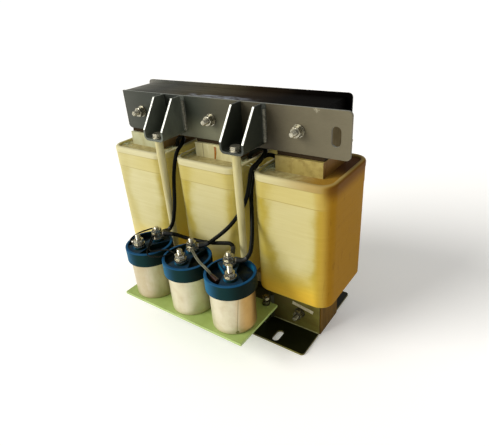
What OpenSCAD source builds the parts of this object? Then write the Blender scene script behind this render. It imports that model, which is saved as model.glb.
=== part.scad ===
// Three-phase sine wave filter: a filter reactor with three taped coils on a
// laminated core, and three can capacitors on a glass epoxy board in front.
// Origin: middle of the core on the floor. X runs along the core, Y to the rear.

/* [Core] */
// Distance between neighbouring limbs
limb_pitch = 140; // [134:1:160]
// Width of a limb along the core
limb_w = 68; // [60:1:70]
// Depth of the lamination stack
stack_d = 60; // [50:1:70]
// Height of each yoke
yoke_h = 60; // [54:1:76]
// Clear height between the yokes
window_h = 232; // [222:1:260]
// Glass epoxy spacers in each limb
gap_count = 4; // [2:1:6]
// Thickness of a gap spacer
gap_t = 3; // [1:0.5:5]

/* [Coils] */
// Width of a coil over its tape
coil_w = 120; // [112:1:126]
// Depth of a coil over its tape
coil_d = 128; // [122:1:130]
// Corner radius of a coil
coil_r = 22; // [18:1:28]
// Height of a coil over its tape
coil_h = 187; // [170:1:190]
// Height of the pads that carry the coils on the lower yoke
pad_h = 20; // [12:1:24]
// Clearance between a pad and the limb sleeves beside it
pad_clear = 0.5; // [0.3:0.1:6]
// Thickness of the outer tape wrap
tape_t = 3; // [2:0.5:4]
// Height of the rim that the tape makes above the winding
rim_h = 3; // [2:0.5:6]
// Width of that rim
rim_w = 7; // [5:0.5:9]
// Rounding of the outer edge of the rim
rim_round = 4; // [1:0.5:5]
// Height of the band round the top of the coil
band_h = 9; // [6:0.5:14]
// How far the tape lies inside that band below it
band_step = 0.4; // [0.2:0.1:0.8]
// Rounding of the lower edge of the tape
hem_round = 2; // [0.5:0.5:2]
// Height of the tape seam under the top of the coil
seam_drop = 32; // [20:1:60]
// How far the lower tape lies inside the upper one at the seam
seam_step = 0.4; // [0.2:0.1:1]
// Wall of the insulating sleeve at the sides of a limb
sleeve_t = 1; // [1:0.5:3]
// Wall of the sleeve in front of a limb and behind it
sleeve_face_t = 4.5; // [1.5:0.5:5]
// Bare limb between a sleeve and each yoke
sleeve_short = 6.5; // [4:0.5:12]

/* [Clamping sheets] */
// Thickness of all clamping sheets and brackets
sheet_t = 3; // [2:0.5:4]
// How far the front upper sheet reaches past the left core end
sheet_past = 4; // [0:0.5:8]
// How far the rear upper sheet reaches past the core ends
rear_past = 8; // [0:0.5:10]
// How far the front upper sheet reaches past the right core end
lug_reach = 35; // [30:1:50]
// Corner radius of the upper sheets
sheet_r = 6; // [2:0.5:8]
// Width of the upright slot at its right end
lug_slot_w = 12.5; // [9:0.5:14]
// Length of that slot
lug_slot_len = 25; // [18:0.5:30]
// Distance of that slot from the end of the sheet
lug_slot_in = 19; // [14:0.5:24]
// Height of the middle of that slot above the sheet's lower edge
lug_slot_up = 28; // [20:0.5:34]
// How far the rear upper sheet rises over the yoke
rear_rise = 5; // [0:0.5:10]

/* [Base angles] */
// How far the flange rises over the lower yoke
flange_rise = 2; // [0:0.5:4]
// Reach of a foot from the core
foot_reach = 54; // [53.5:0.5:66]
// How far the angles stop short of the core ends
angle_short = 1.5; // [0:0.5:6]
// Inside radius of a bend
bend_r = 2; // [1:0.5:3]
// Corner radius of a foot
foot_r = 5; // [1:0.5:8]
// Distance between the slots of a foot along the core
foot_slot_pitch = 240; // [216:1:280]
// Distance of the slots from the core
foot_slot_out = 38; // [37:0.5:40]
// Width of a foot slot
foot_slot_w = 11; // [7:0.5:13]
// End-to-end length of a foot slot
foot_slot_len = 24; // [16:0.5:26]

/* [Rod brackets] */
// Outside width of a bracket
bracket_w = 38; // [36:0.5:48]
// How far a bracket stands out from its sheet
bracket_reach = 49; // [49:0.5:50]
// Height of an upper bracket
bracket_h = 56; // [50:0.5:60]
// Width of a bracket's narrow edge
bracket_nose = 20; // [12:0.5:26]
// Height of the straight lip at a bracket's floor
bracket_lip = 15; // [8:0.5:20]
// Inside radius between a bracket's floor and its wings
bracket_r = 4; // [2:0.5:5]
// Height of the lower brackets over the floor
base_bracket_top = 54; // [48:0.5:58]
// Leg of the weld bead at a bracket's root
weld_leg = 4; // [2:0.5:5]

/* [Rods and bolts] */
// Diameter of the tie rods
rod_d = 8; // [6:1:9]
// Distance of the tie rods from the sheets
rod_out = 40; // [36:0.5:40]
// Outside diameter of the tubes on the tie rods
rod_tube_d = 12; // [11:0.5:14]
// How far a tie rod stands out of its lower nut
rod_tip = 5; // [2:0.5:8]
// Diameter of the yoke bolts
bolt_d = 8; // [6:1:10]
// How far a yoke bolt stands out of its nut
bolt_tip = 9; // [2:0.5:12]
// Height of the lower yoke bolts over the floor
base_bolt_z = 32; // [30:0.5:34]
// Outside diameter of the insulating tubes on the yoke bolts
bolt_tube_d = 12; // [12:0.5:16]
// Radial clearance of bolts and rods in their holes
hole_gap = 0.5; // [0.3:0.1:0.8]

/* [Capacitor board] */
// Width of the board
board_w = 230; // [200:1:250]
// Depth of the board
board_d = 95; // [90:1:110]
// Thickness of the board
board_t = 4; // [3:0.5:6]
// Distance of its rear edge from the flange
board_back = 32; // [30:0.5:33]
// Offset of the board to the right
board_x = 4; // [0:0.5:8]
// Width of the rail under its rear edge
rail_w = 14; // [13:0.5:18]
// Thickness of that rail
rail_t = 3; // [2:0.5:5]
// Distance of the corner bolts from the lower brackets beside them
corner_bolt_beside = 14; // [12:0.5:16]
// Diameter of the corner bolts
corner_bolt_d = 6; // [5:1:6]
// How far a corner bolt stands over the board
corner_bolt_up = 16; // [13:0.5:18]

/* [Capacitors] */
// Diameter of a can
can_d = 64; // [58:0.5:66]
// Distance between neighbouring cans
can_pitch = 78.5; // [75:0.5:82]
// Distance of the cans from the board's front edge
can_in = 36.5; // [35:0.5:40]
// Height of the can that shows under its plastic top
can_h = 63; // [50:0.5:80]
// Diameter of the plastic top
top_d = 73; // [71:0.5:74]
// Height of the plastic top
top_h = 22; // [18:0.5:28]
// Wall of the plastic top at its rim
top_rim = 4; // [2:0.5:5]
// Depth of the two pockets in the top
pocket_depth = 10; // [6:0.5:11]
// How far the rib lies below the rim
rib_drop = 1.5; // [0.5:0.5:3]
// Width of the rib at its middle
rib_waist = 16; // [12:0.5:20]
// Width of the rib at the rim
rib_end = 40; // [24:0.5:48]
// Diameter of a terminal boss
boss_d = 18; // [17:0.5:20]
// How far a boss rises over the rim
boss_up = 2; // [0.5:0.5:4]
// Distance between the two terminals of a capacitor
terminal_pitch = 32; // [28:0.5:34]
// Diameter of the terminals
stud_d = 8; // [6:1:8]
// How far a terminal rises over the rim
stud_up = 21; // [19:0.5:24]
// Diameter of the stud under a can
base_stud_d = 12; // [8:1:12]

/* [Leads] */
// Diameter of the phase leads
lead_d = 6; // [4:0.5:7]
// Diameter of the loop lead
loop_d = 2.5; // [1.5:0.5:3]
// Diameter of the thin leads
wire_d = 2; // [1:0.5:2]

/* [Power terminals] */
// Width of a connection flag
flag_w = 18; // [14:0.5:20]
// Thickness of a flag
flag_t = 3; // [2:0.5:4]
// Distance between the two flags of a coil
flag_pitch = 40; // [30:0.5:50]
// Height of a flag over the winding
flag_h = 19; // [16:0.5:24]
// Distance of a flag's foot from the limb sleeve
flag_out = 9; // [6:0.5:10]
// Length of the flag's bent end
flag_reach = 30; // [26:0.5:34]
// Diameter of the hole in a flag
flag_hole_d = 9; // [6.5:0.5:11]

/* [Hidden] */
$fn = 64;

LEFT = -1;
CENTRE = 0;
RIGHT = 1;
FRONT = -1;
REAR = 1;
PHASES = [LEFT, CENTRE, RIGHT];
cut = 1; // how far a cutting shape runs past the piece it cuts

// Core
core_len = 2 * limb_pitch + limb_w;
window_z = yoke_h;
top_yoke_z = yoke_h + window_h;
core_top = top_yoke_z + yoke_h;
core_y = stack_d / 2;
segment_h = (window_h - gap_count * gap_t) / (gap_count + 1);

// Coils
coil_z = yoke_h + pad_h;
coil_top = coil_z + coil_h;
winding_top = coil_top - rim_h;
sleeve_w = limb_w + 2 * sleeve_t;
sleeve_d = stack_d + 2 * sleeve_face_t;
pad_w = limb_pitch - sleeve_w - 2 * pad_clear;

// Sheets, brackets and rods. Distances out from the core count from its face.
flange_h = yoke_h + flange_rise;
bracket_x = limb_pitch / 2;
rod_from_core = sheet_t + rod_out;
top_floor_z = core_top - bracket_h;
bolt_hole_d = bolt_d + 2 * hole_gap;
rod_hole_d = rod_d + 2 * hole_gap;
top_bolt_z = top_yoke_z + yoke_h / 2;

// Standard nuts and washers, from the thread diameter
function nut_af(d) = d <= 6 ? 10 : d <= 8 ? 13 : d <= 10 ? 17 : 19;
function nut_h(d) = 0.8 * d;
function washer_d(d) = d <= 6 ? 12 : 2 * d + 1;
function washer_t(d) = d <= 6 ? 1.2 : 0.2 * d;
function washer_hole(d) = d + 0.4;
function spring_washer_t(d) = 0.25 * d;
function spring_washer_d(d) = 1.8 * d;
function head_h(d) = 0.66 * d;

// Board
board_y = -(core_y + sheet_t + board_back);
board_z = base_bracket_top + rail_t;
board_top = board_z + board_t;
rail_past = 2; // how far the rail reaches past the washers of the corner bolts
corner_bolt_tip = 2; // how far a corner bolt stands out of its upper nut
corner_bolt_x = bracket_x + bracket_w / 2 + corner_bolt_beside;
corner_bolt_y = board_y - washer_d(corner_bolt_d) / 2;
rail_len = 2 * corner_bolt_x + washer_d(corner_bolt_d) + 2 * rail_past;

// Capacitors. The bearing of a terminal pair is measured from the X axis.
can_y = board_y - board_d + can_in;
can_edge_r = 2;
rim_z = board_top + can_h + top_h;
skirt_z = rim_z - top_h;
deck_t = 2; // between the pockets and the can
base_stud_tip = 3; // how far the stud under a can stands out of its nut
can_top = rim_z - pocket_depth - deck_t;
top_edge_r = 1.5;
boss_z = rim_z + boss_up;
boss_flare = 2; // how much wider a boss is at its foot, on the radius
stud_root_z = rim_z - rib_drop - 3;
BEARINGS = [74, 101, 129];
function can_x(i) = board_x + (i - 1) * can_pitch;
function terminal(i, back) = [
    can_x(i) + (back - 0.5) * terminal_pitch * cos(BEARINGS[i]),
    can_y + (back - 0.5) * terminal_pitch * sin(BEARINGS[i])
];

// Ring lugs, from the bottom of each stack up: [capacitor, terminal (0 front,
// 1 rear), bearing, kind]
CABLE = 0;
WIRE = 1;
LUG_T = [2, 1];
LUG_RING_R = [7, 6];
LUG_BARREL_D = [7, 5];
LUG_AXIS_Z = [3.9, 2.9];
LUG_LEN = [17, 12];
lug_barrel_from = washer_d(stud_d) / 2 + 0.5;
lug_play = 0.1;
LUGS = [
    [0, 1, 74, CABLE], [0, 1, 29, CABLE], [0, 1, 145, WIRE], [0, 1, 285, WIRE],
    [0, 0, 195, WIRE],
    [1, 1, 37, CABLE], [1, 1, 314, WIRE],
    [1, 0, 165, WIRE],
    [2, 1, 27, CABLE], [2, 1, 110, CABLE]
];
function sum(v, k = 0) = k >= len(v) ? 0 : v[k] + sum(v, k + 1);
// Height of the first n lugs of the list that sit on one terminal
function stack_h(i, back, n = len(LUGS)) =
    sum([for (k = [0 : 1 : n - 1]) if (LUGS[k][0] == i && LUGS[k][1] == back)
        LUG_T[LUGS[k][3]] + lug_play]);
lug_z = boss_z + washer_t(stud_d);

// Routes of the leads, from the capacitor terminal to the coil or next terminal
LEFT_LEAD = [
    [-65.4, -91.6, 153.5], [-64.2, -87.5, 154.3], [-60.8, -81.5, 163], [-58.5, -76.5, 181],
    [-58.5, -71.5, 200], [-61, -66, 219], [-63.7, -59, 239], [-63.7, -52.5, 258],
    [-61.5, -47, 271.5], [-60, -38, 279], [-63, -29, 283], [-71, -22, 284],
    [-83, -17.5, 280.5], [-90, -15.5, 273], [-91, -15.5, 264]
];
CENTRE_LEAD = [
    [14.5, -97.5, 153.5], [20, -92.5, 155.5], [27.5, -84.5, 161.5], [44, -71.5, 178],
    [59.5, -64.5, 200], [70, -58.5, 223], [75.8, -56.5, 246], [80.5, -53.5, 270],
    [87, -47, 277], [89.5, -40, 283], [88, -31, 286.5], [81, -23, 287],
    [70, -17, 283.5], [58, -13, 277], [50, -12, 271.5], [48.5, -12, 264]
];
RIGHT_LEAD = [
    [87.5, -103.5, 153.5], [93, -99.5, 155.5], [96, -93.5, 162.5], [95, -87, 172],
    [88.5, -74, 188.5], [80, -60.5, 206], [73, -49.5, 227], [72.5, -43.5, 245.5],
    [76.7, -41, 265], [83, -35, 277.5], [89, -27, 281], [94.5, -19.5, 278],
    [97, -15, 271.5], [97.5, -14, 264]
];
BRIDGE_LEAD = [
    [-55, -100, 155.5], [-46, -94, 153], [-32, -87.5, 148], [-14, -84, 146.5],
    [5, -83, 148], [24, -83, 152], [42, -83, 157], [54, -83.5, 160],
    [62, -87, 159], [66.5, -94.5, 155.5]
];
LOOP_LEAD = [
    [-90.5, -142, 152.5], [-99, -138.5, 151], [-104.5, -128, 150], [-105.5, -116, 150],
    [-100, -104.5, 151], [-90.5, -98.5, 154], [-80, -101, 156.5]
];
LINK_LEAD = [
    [-67, -119.5, 158], [-65.5, -127, 154], [-61, -136.5, 149], [-52, -141.5, 147],
    [-40, -137, 149], [-28, -132.5, 151.5], [-15, -133.5, 152.5], [-4.5, -136, 152.5]
];
RESISTOR_LEAD = [
    [8.8, -117.8, 154.5], [17, -124, 155.5], [34, -133, 152], [52, -139, 149],
    [57.5, -139.5, 145.5], [60.5, -139.5, 141.5]
];
twin_shift = [1.2, 1.8, 0];

// Bleed resistor in the pocket of the right capacitor
resistor_from = [62.5, -139, 140.5];
resistor_bearing = -20;
resistor_len = 16;
resistor_d = 8;
resistor_edge_r = 1;

// 2-D shapes

module rounded_rect(w, d, r) {
    square([w - 2 * r, d], center = true);
    square([w, d - 2 * r], center = true);
    for (sx = [-1, 1], sy = [-1, 1])
        translate([sx * (w / 2 - r), sy * (d / 2 - r)]) circle(r);
}

// A slot whose length runs along the second axis
module slot(w, len) {
    square([w, len - w], center = true);
    for (s = [-1, 1]) translate([0, s * (len - w) / 2]) circle(d = w);
}

// What a rounding takes off a corner: the corner is at the origin, the piece on the
// side that sx and sy point to
module corner_bite(r, sx, sy) {
    difference() {
        translate([sx > 0 ? -cut : -r, sy > 0 ? -cut : -r]) square(r + cut);
        translate([sx * r, sy * r]) circle(r);
    }
}

// 3-D helpers

module along_x(len) {
    translate([-len / 2, 0, 0]) rotate([90, 0, 90]) linear_extrude(len) children();
}

// Places a piece drawn for the rear face of the core on the front or rear face
module on_face(side) {
    mirror([0, side == FRONT ? 1 : 0, 0]) translate([0, core_y, 0]) children();
}

// A hexagon whose corners are turned off towards both faces
module hex_block(af, h) {
    corner_r = af / 2 / cos(30);
    bevel = (corner_r - af / 2) / 2;
    intersection() {
        cylinder(h = h, r = corner_r, $fn = 6);
        rotate_extrude() polygon([
            [0, 0], [af / 2, 0], [corner_r + bevel, 2 * bevel],
            [corner_r + bevel, h - 2 * bevel], [af / 2, h], [0, h]
        ]);
    }
}

module hex_nut(d) {
    difference() {
        hex_block(nut_af(d), nut_h(d));
        translate([0, 0, -cut]) cylinder(h = nut_h(d) + 2 * cut, d = d);
    }
}

module washer(d) {
    difference() {
        cylinder(h = washer_t(d), d = washer_d(d));
        translate([0, 0, -cut]) cylinder(h = washer_t(d) + 2 * cut, d = washer_hole(d));
    }
}

module tube(outer, inner, h) {
    difference() {
        cylinder(h = h, d = outer);
        translate([0, 0, -cut]) cylinder(h = h + 2 * cut, d = inner);
    }
}

// A round cord swept along points, with its rings carried on without twist
function unit(v) = v / norm(v);
function heading(p, i) =
    unit(p[min(i + 1, len(p) - 1)] - p[max(i - 1, 0)]);
function square_to(v, t) = unit(v - (v * t) * t);
function carried(p, start, i = 0, done = []) =
    i >= len(p) ? done
    : carried(p, start, i + 1,
        concat(done, [square_to(i == 0 ? start : done[i - 1], heading(p, i))]));

module cord(p, d, sides) {
    up = carried(p, [0.2, 1, 0.4]);
    ring = [for (i = [0 : len(p) - 1], k = [0 : sides - 1])
        p[i] + d / 2 * (cos(360 * k / sides) * up[i]
            + sin(360 * k / sides) * cross(heading(p, i), up[i]))];
    last = (len(p) - 1) * sides;
    walls = [for (i = [0 : len(p) - 2], k = [0 : sides - 1])
        [i * sides + k, (i + 1) * sides + k,
         (i + 1) * sides + (k + 1) % sides, i * sides + (k + 1) % sides]];
    near_end = [[for (k = [0 : sides - 1]) k]];
    far_end = [[for (k = [sides - 1 : -1 : 0]) last + k]];
    polyhedron(ring, concat(near_end, walls, far_end));
}

// Core

module yoke_block(z, bolt_z) {
    difference() {
        translate([-core_len / 2, -core_y, z]) cube([core_len, stack_d, yoke_h]);
        for (p = PHASES)
            translate([p * limb_pitch, core_y + cut, bolt_z]) rotate([90, 0, 0])
                cylinder(h = stack_d + 2 * cut, d = bolt_tube_d + hole_gap);
    }
}

module bottom_yoke() {
    color("#3a2a1c") yoke_block(0, base_bolt_z);
}

module top_yoke() {
    color("#1c1814") yoke_block(top_yoke_z, top_bolt_z);
}

module limb(p) {
    color("#5a4526")
        for (k = [0 : gap_count])
            translate([p * limb_pitch - limb_w / 2, -core_y, window_z + k * (segment_h + gap_t)])
                cube([limb_w, stack_d, segment_h]);
}

module gap_spacers() {
    color("#b9c08a")
        for (p = PHASES, k = [1 : gap_count])
            translate([p * limb_pitch - limb_w / 2, -core_y,
                window_z + k * (segment_h + gap_t) - gap_t])
                cube([limb_w, stack_d, gap_t]);
}

// Coils

module sleeve(p) {
    color("#cdbf7e")
        translate([p * limb_pitch, 0, window_z + sleeve_short])
            linear_extrude(window_h - 2 * sleeve_short)
                difference() {
                    square([sleeve_w, sleeve_d], center = true);
                    square([limb_w, stack_d], center = true);
                }
}

// The winding fills the space between sleeve and tape
module winding(p) {
    color("#a87a30")
        translate([p * limb_pitch, 0, coil_z])
            linear_extrude(winding_top - coil_z)
                difference() {
                    rounded_rect(coil_w - 2 * tape_t, coil_d - 2 * tape_t, coil_r - tape_t);
                    square([sleeve_w, sleeve_d], center = true);
                }
}

// Section of the tape wrap: 0 is its outer face, and less than 0 is inwards
module tape_section() {
    h = coil_top - coil_z;
    difference() {
        union() {
            translate([-tape_t, 0]) square([tape_t, h]);
            translate([-rim_w, h - rim_h]) square([rim_w, rim_h]);
        }
        translate([-band_step, -cut]) square([band_step + cut, h - band_h + cut]);
        translate([-band_step - seam_step, -cut])
            square([seam_step + cut, h - seam_drop + cut]);
        translate([-band_step - seam_step, 0]) corner_bite(hem_round, -1, 1);
        translate([0, h]) corner_bite(rim_round, -1, -1);
        translate([-rim_w, h]) corner_bite(rim_round / 2, 1, -1);
    }
}

// The section runs round the coil: four straight sides and four quarter turns
module tape_wrap(p) {
    side_x = coil_w / 2 - coil_r;
    side_y = coil_d / 2 - coil_r;
    color("#d9cd8f")
        translate([p * limb_pitch, 0, coil_z])
            for (s = [0, 1]) rotate([0, 0, 180 * s]) {
                translate([side_x, side_y, 0]) rotate_extrude(angle = 90)
                    translate([coil_r, 0]) tape_section();
                translate([-side_x, side_y, 0]) rotate([0, 0, 90]) rotate_extrude(angle = 90)
                    translate([coil_r, 0]) tape_section();
                translate([coil_w / 2, side_y, 0]) rotate([90, 0, 0])
                    linear_extrude(2 * side_y) tape_section();
                translate([-side_x, coil_d / 2, 0]) rotate([90, 0, 90])
                    linear_extrude(2 * side_x) tape_section();
            }
}

// A pad stands in each window and carries the two coils beside it
module coil_pads() {
    color("#c9b77a")
        for (s = [-1, 1])
            translate([s * limb_pitch / 2 - pad_w / 2, -core_y, yoke_h])
                cube([pad_w, stack_d, pad_h]);
}

// Clamping sheets

module bolt_row(z) {
    for (p = PHASES)
        translate([p * limb_pitch, sheet_t + cut, z]) rotate([90, 0, 0])
            cylinder(h = sheet_t + 2 * cut, d = bolt_hole_d);
}

module top_clamp_front() {
    left = -core_len / 2 - sheet_past;
    right = core_len / 2 + lug_reach;
    color("#78705c") on_face(FRONT)
        difference() {
            translate([0, sheet_t, top_yoke_z]) rotate([90, 0, 0]) linear_extrude(sheet_t)
                difference() {
                    translate([left, 0]) square([right - left, yoke_h]);
                    translate([left, 0]) corner_bite(sheet_r, 1, 1);
                    translate([right, 0]) corner_bite(sheet_r, -1, 1);
                    translate([right, yoke_h]) corner_bite(sheet_r, -1, -1);
                    translate([right - lug_slot_in, lug_slot_up]) slot(lug_slot_w, lug_slot_len);
                }
            bolt_row(top_bolt_z);
        }
}

module top_clamp_rear() {
    half = core_len / 2 + rear_past;
    color("#1a1512") on_face(REAR)
        difference() {
            translate([0, sheet_t, top_yoke_z]) rotate([90, 0, 0]) linear_extrude(sheet_t)
                difference() {
                    translate([-half, 0]) square([2 * half, yoke_h + rear_rise]);
                    for (s = [-1, 1])
                        translate([s * half, yoke_h + rear_rise]) corner_bite(sheet_r, -s, -1);
                }
            bolt_row(top_bolt_z);
        }
}

module base_angle(side) {
    angle_len = core_len - 2 * angle_short;
    color("#46442c") on_face(side)
        difference() {
            along_x(angle_len) difference() {
                union() {
                    square([sheet_t, flange_h]);
                    square([foot_reach, sheet_t]);
                    translate([sheet_t, sheet_t]) square(bend_r);
                }
                translate([sheet_t + bend_r, sheet_t + bend_r]) circle(bend_r);
                corner_bite(bend_r + sheet_t, 1, 1);
            }
            bolt_row(base_bolt_z);
            for (s = [-1, 1]) {
                translate([s * foot_slot_pitch / 2, foot_slot_out, -cut])
                    linear_extrude(sheet_t + 2 * cut) slot(foot_slot_w, foot_slot_len);
                translate([s * angle_len / 2, foot_reach, -cut])
                    linear_extrude(sheet_t + 2 * cut) corner_bite(foot_r, -s, -1);
            }
        }
}

// A folded bracket with its floor at z = 0 and its wings upwards. It reaches out
// from the sheet along Y, and its wings slope back to a narrow nose.
module bracket(h) {
    outer_r = bracket_r + sheet_t;
    slope_end = bracket_reach - bracket_nose;
    intersection() {
        translate([0, bracket_reach, 0]) rotate([90, 0, 0]) linear_extrude(bracket_reach)
            difference() {
                translate([-bracket_w / 2, 0]) square([bracket_w, h]);
                translate([-bracket_w / 2, 0]) corner_bite(outer_r, 1, 1);
                translate([bracket_w / 2, 0]) corner_bite(outer_r, -1, 1);
                difference() {
                    translate([-bracket_w / 2 + sheet_t, sheet_t])
                        square([bracket_w - 2 * sheet_t, h]);
                    translate([-bracket_w / 2 + sheet_t, sheet_t]) corner_bite(bracket_r, 1, 1);
                    translate([bracket_w / 2 - sheet_t, sheet_t]) corner_bite(bracket_r, -1, 1);
                }
            }
        along_x(bracket_w + 2 * cut) polygon([
            [0, 0], [bracket_reach, 0], [bracket_reach, bracket_lip],
            [bracket_reach - slope_end, h], [0, h]
        ]);
    }
    for (s = [-1, 1])
        translate([s * bracket_w / 2, 0, outer_r]) linear_extrude(h - outer_r)
            polygon([[0, 0], [s * weld_leg, 0], [0, weld_leg]]);
}

module rod_hole() {
    translate([0, rod_out, -cut]) cylinder(h = sheet_t + 2 * cut, d = rod_hole_d);
}

module top_bracket(side, s) {
    color("#4a4c46") on_face(side)
        translate([s * bracket_x, sheet_t, top_floor_z]) difference() {
            bracket(bracket_h);
            rod_hole();
        }
}

module base_bracket(side, s) {
    color("#3c3d36") on_face(side)
        translate([s * bracket_x, sheet_t, base_bracket_top]) mirror([0, 0, 1]) difference() {
            bracket(base_bracket_top - sheet_t);
            rod_hole();
        }
}

// Tie rods and yoke bolts

rod_end = washer_t(rod_d) + nut_h(rod_d) + rod_tip; // below the lower floor
top_floor_top = top_floor_z + sheet_t;
base_floor_under = base_bracket_top - sheet_t;

module at_rods(sides) {
    for (side = sides, s = [-1, 1])
        translate([s * bracket_x, side * (core_y + rod_from_core), 0]) children();
}

// Each rod is a long bolt with its head in the upper bracket
module tie_rods() {
    head_z = top_floor_top + washer_t(rod_d);
    color("#b8b4a0") at_rods([FRONT, REAR]) {
        translate([0, 0, base_floor_under - rod_end])
            cylinder(h = head_z + head_h(rod_d) - base_floor_under + rod_end, d = rod_d);
        translate([0, 0, head_z]) hex_block(nut_af(rod_d), head_h(rod_d));
    }
}

module rod_tubes(side) {
    from = side == FRONT ? board_top : base_bracket_top;
    color("#e1d7aa") at_rods([side])
        translate([0, 0, from]) tube(rod_tube_d, rod_hole_d, top_floor_z - from);
}

module at_rod_foot() {
    at_rods([FRONT, REAR])
        translate([0, 0, base_floor_under]) mirror([0, 0, 1]) children();
}

module rod_washers() {
    color("#c9c5b0") {
        at_rod_foot() washer(rod_d);
        at_rods([FRONT, REAR]) translate([0, 0, top_floor_top]) washer(rod_d);
    }
}

module rod_nuts() {
    color("#d2ceb8") at_rod_foot() translate([0, 0, washer_t(rod_d)]) hex_nut(rod_d);
}

module at_yoke_bolts() {
    for (p = PHASES, z = [base_bolt_z, top_bolt_z])
        translate([p * limb_pitch, 0, z]) children();
}

bolt_nut_from = washer_t(bolt_d) + spring_washer_t(bolt_d);
bolt_end = core_y + sheet_t + bolt_nut_from + nut_h(bolt_d) + bolt_tip;

module yoke_bolts() {
    color("#c0baa2") at_yoke_bolts()
        translate([0, bolt_end, 0]) rotate([90, 0, 0]) cylinder(h = 2 * bolt_end, d = bolt_d);
}

module at_bolt_ends() {
    at_yoke_bolts()
        for (side = [FRONT, REAR])
            translate([0, side * (core_y + sheet_t), 0]) rotate([-side * 90, 0, 0]) children();
}

// A flat washer with a spring washer on it
module yoke_washers() {
    color("#c9c5b0") at_bolt_ends() {
        washer(bolt_d);
        tube(spring_washer_d(bolt_d), washer_hole(bolt_d), bolt_nut_from);
    }
}

module yoke_nuts() {
    color("#d2ceb8") at_bolt_ends() translate([0, 0, bolt_nut_from]) hex_nut(bolt_d);
}

module yoke_bolt_tubes() {
    color("#b9c08a") at_yoke_bolts()
        translate([0, core_y, 0]) rotate([90, 0, 0]) tube(bolt_tube_d, bolt_hole_d, stack_d);
}

// Capacitor board

module at_corner_bolts() {
    for (s = [-1, 1])
        translate([s * corner_bolt_x, corner_bolt_y, 0]) children();
}

module corner_bolt_holes(z, h) {
    at_corner_bolts() translate([0, 0, z - cut])
        cylinder(h = h + 2 * cut, d = corner_bolt_d + 2 * hole_gap);
}

module board_rail() {
    color("#6b6a58")
        difference() {
            translate([-rail_len / 2, board_y - rail_w, base_bracket_top])
                cube([rail_len, rail_w, rail_t]);
            at_rods([FRONT]) translate([0, 0, base_bracket_top - cut])
                cylinder(h = rail_t + 2 * cut, d = rod_hole_d);
            corner_bolt_holes(base_bracket_top, rail_t);
        }
}

module capacitor_board() {
    rod_y = -(core_y + rod_from_core);
    color("#96b45a")
        difference() {
            translate([board_x - board_w / 2, board_y - board_d, board_z])
                cube([board_w, board_d, board_t]);
            at_rods([FRONT]) translate([0, 0, board_z - cut]) {
                cylinder(h = board_t + 2 * cut, d = rod_hole_d);
                translate([-rod_hole_d / 2, 0, 0])
                    cube([rod_hole_d, board_y - rod_y + cut, board_t + 2 * cut]);
            }
            corner_bolt_holes(board_z, board_t);
            for (i = [0 : 2]) translate([can_x(i), can_y, board_z - cut])
                cylinder(h = board_t + 2 * cut, d = base_stud_d + 2 * hole_gap);
        }
}

// Long corner bolts: head under the rail, a nut on the board and one near the tip
module board_fixings() {
    d = corner_bolt_d;
    second_nut_z = board_top + corner_bolt_up - corner_bolt_tip - nut_h(d);
    color("#cfcbb6") at_corner_bolts() {
        translate([0, 0, base_bracket_top - head_h(d)]) {
            hex_block(nut_af(d), head_h(d));
            cylinder(h = board_top + corner_bolt_up - base_bracket_top + head_h(d), d = d);
        }
        translate([0, 0, board_top]) washer(d);
        translate([0, 0, board_top + washer_t(d)]) hex_nut(d);
        translate([0, 0, second_nut_z]) hex_nut(d);
    }
}

// Capacitors

stud_below = board_t + washer_t(base_stud_d) + nut_h(base_stud_d) + base_stud_tip;

module capacitor_can(i) {
    h = can_top - board_top;
    color("#d7c8aa") translate([can_x(i), can_y, board_top]) {
        rotate_extrude() difference() {
            square([can_d / 2, h]);
            translate([can_d / 2, 0]) corner_bite(can_edge_r, -1, 1);
            translate([can_d / 2, h]) corner_bite(can_edge_r, -1, -1);
        }
        translate([0, 0, -stud_below]) cylinder(h = stud_below + 1, d = base_stud_d);
    }
}

module can_fixings() {
    d = base_stud_d;
    color("#cfcbb6")
        for (i = [0 : 2]) translate([can_x(i), can_y, board_z]) mirror([0, 0, 1]) {
            washer(d);
            translate([0, 0, washer_t(d)]) hex_nut(d);
        }
}

// The rib is narrow between the terminals and spreads towards the rim. Its long
// way is the line of the two terminals.
module rib_shape() {
    r = top_d / 2;
    polygon([
        [-r, -rib_end / 2], [0, -rib_waist / 2], [r, -rib_end / 2],
        [r, rib_end / 2], [0, rib_waist / 2], [-r, rib_end / 2]
    ]);
}

module capacitor_top(i) {
    inner_r = top_d / 2 - top_rim;
    color("#1f6391") translate([can_x(i), can_y, 0]) difference() {
        union() {
            difference() {
                translate([0, 0, skirt_z]) rotate_extrude() difference() {
                    square([top_d / 2, top_h]);
                    translate([top_d / 2, top_h]) corner_bite(top_edge_r, -1, -1);
                }
                translate([0, 0, rim_z - rib_drop]) cylinder(h = rib_drop + cut, r = inner_r);
                translate([0, 0, rim_z - pocket_depth]) linear_extrude(pocket_depth + cut)
                    difference() {
                        circle(inner_r);
                        rotate(BEARINGS[i]) rib_shape();
                    }
            }
            for (s = [-1, 1]) rotate([0, 0, BEARINGS[i]])
                translate([s * terminal_pitch / 2, 0, rim_z - pocket_depth])
                    cylinder(h = pocket_depth + boss_up, d1 = boss_d + 2 * boss_flare, d2 = boss_d);
        }
        translate([0, 0, skirt_z - cut]) cylinder(h = can_top - skirt_z + cut, d = can_d);
        for (s = [-1, 1]) rotate([0, 0, BEARINGS[i]])
            translate([s * terminal_pitch / 2, 0, stud_root_z])
                cylinder(h = boss_z - stud_root_z + cut, d = stud_d);
    }
}

module at_terminals() {
    for (i = [0 : 2], back = [0, 1]) {
        stack = stack_h(i, back);
        // A terminal with lugs has a second washer on top of them
        $stack_top = stack > 0 ? washer_t(stud_d) + stack : 0;
        translate([terminal(i, back)[0], terminal(i, back)[1], boss_z]) children();
    }
}

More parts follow.
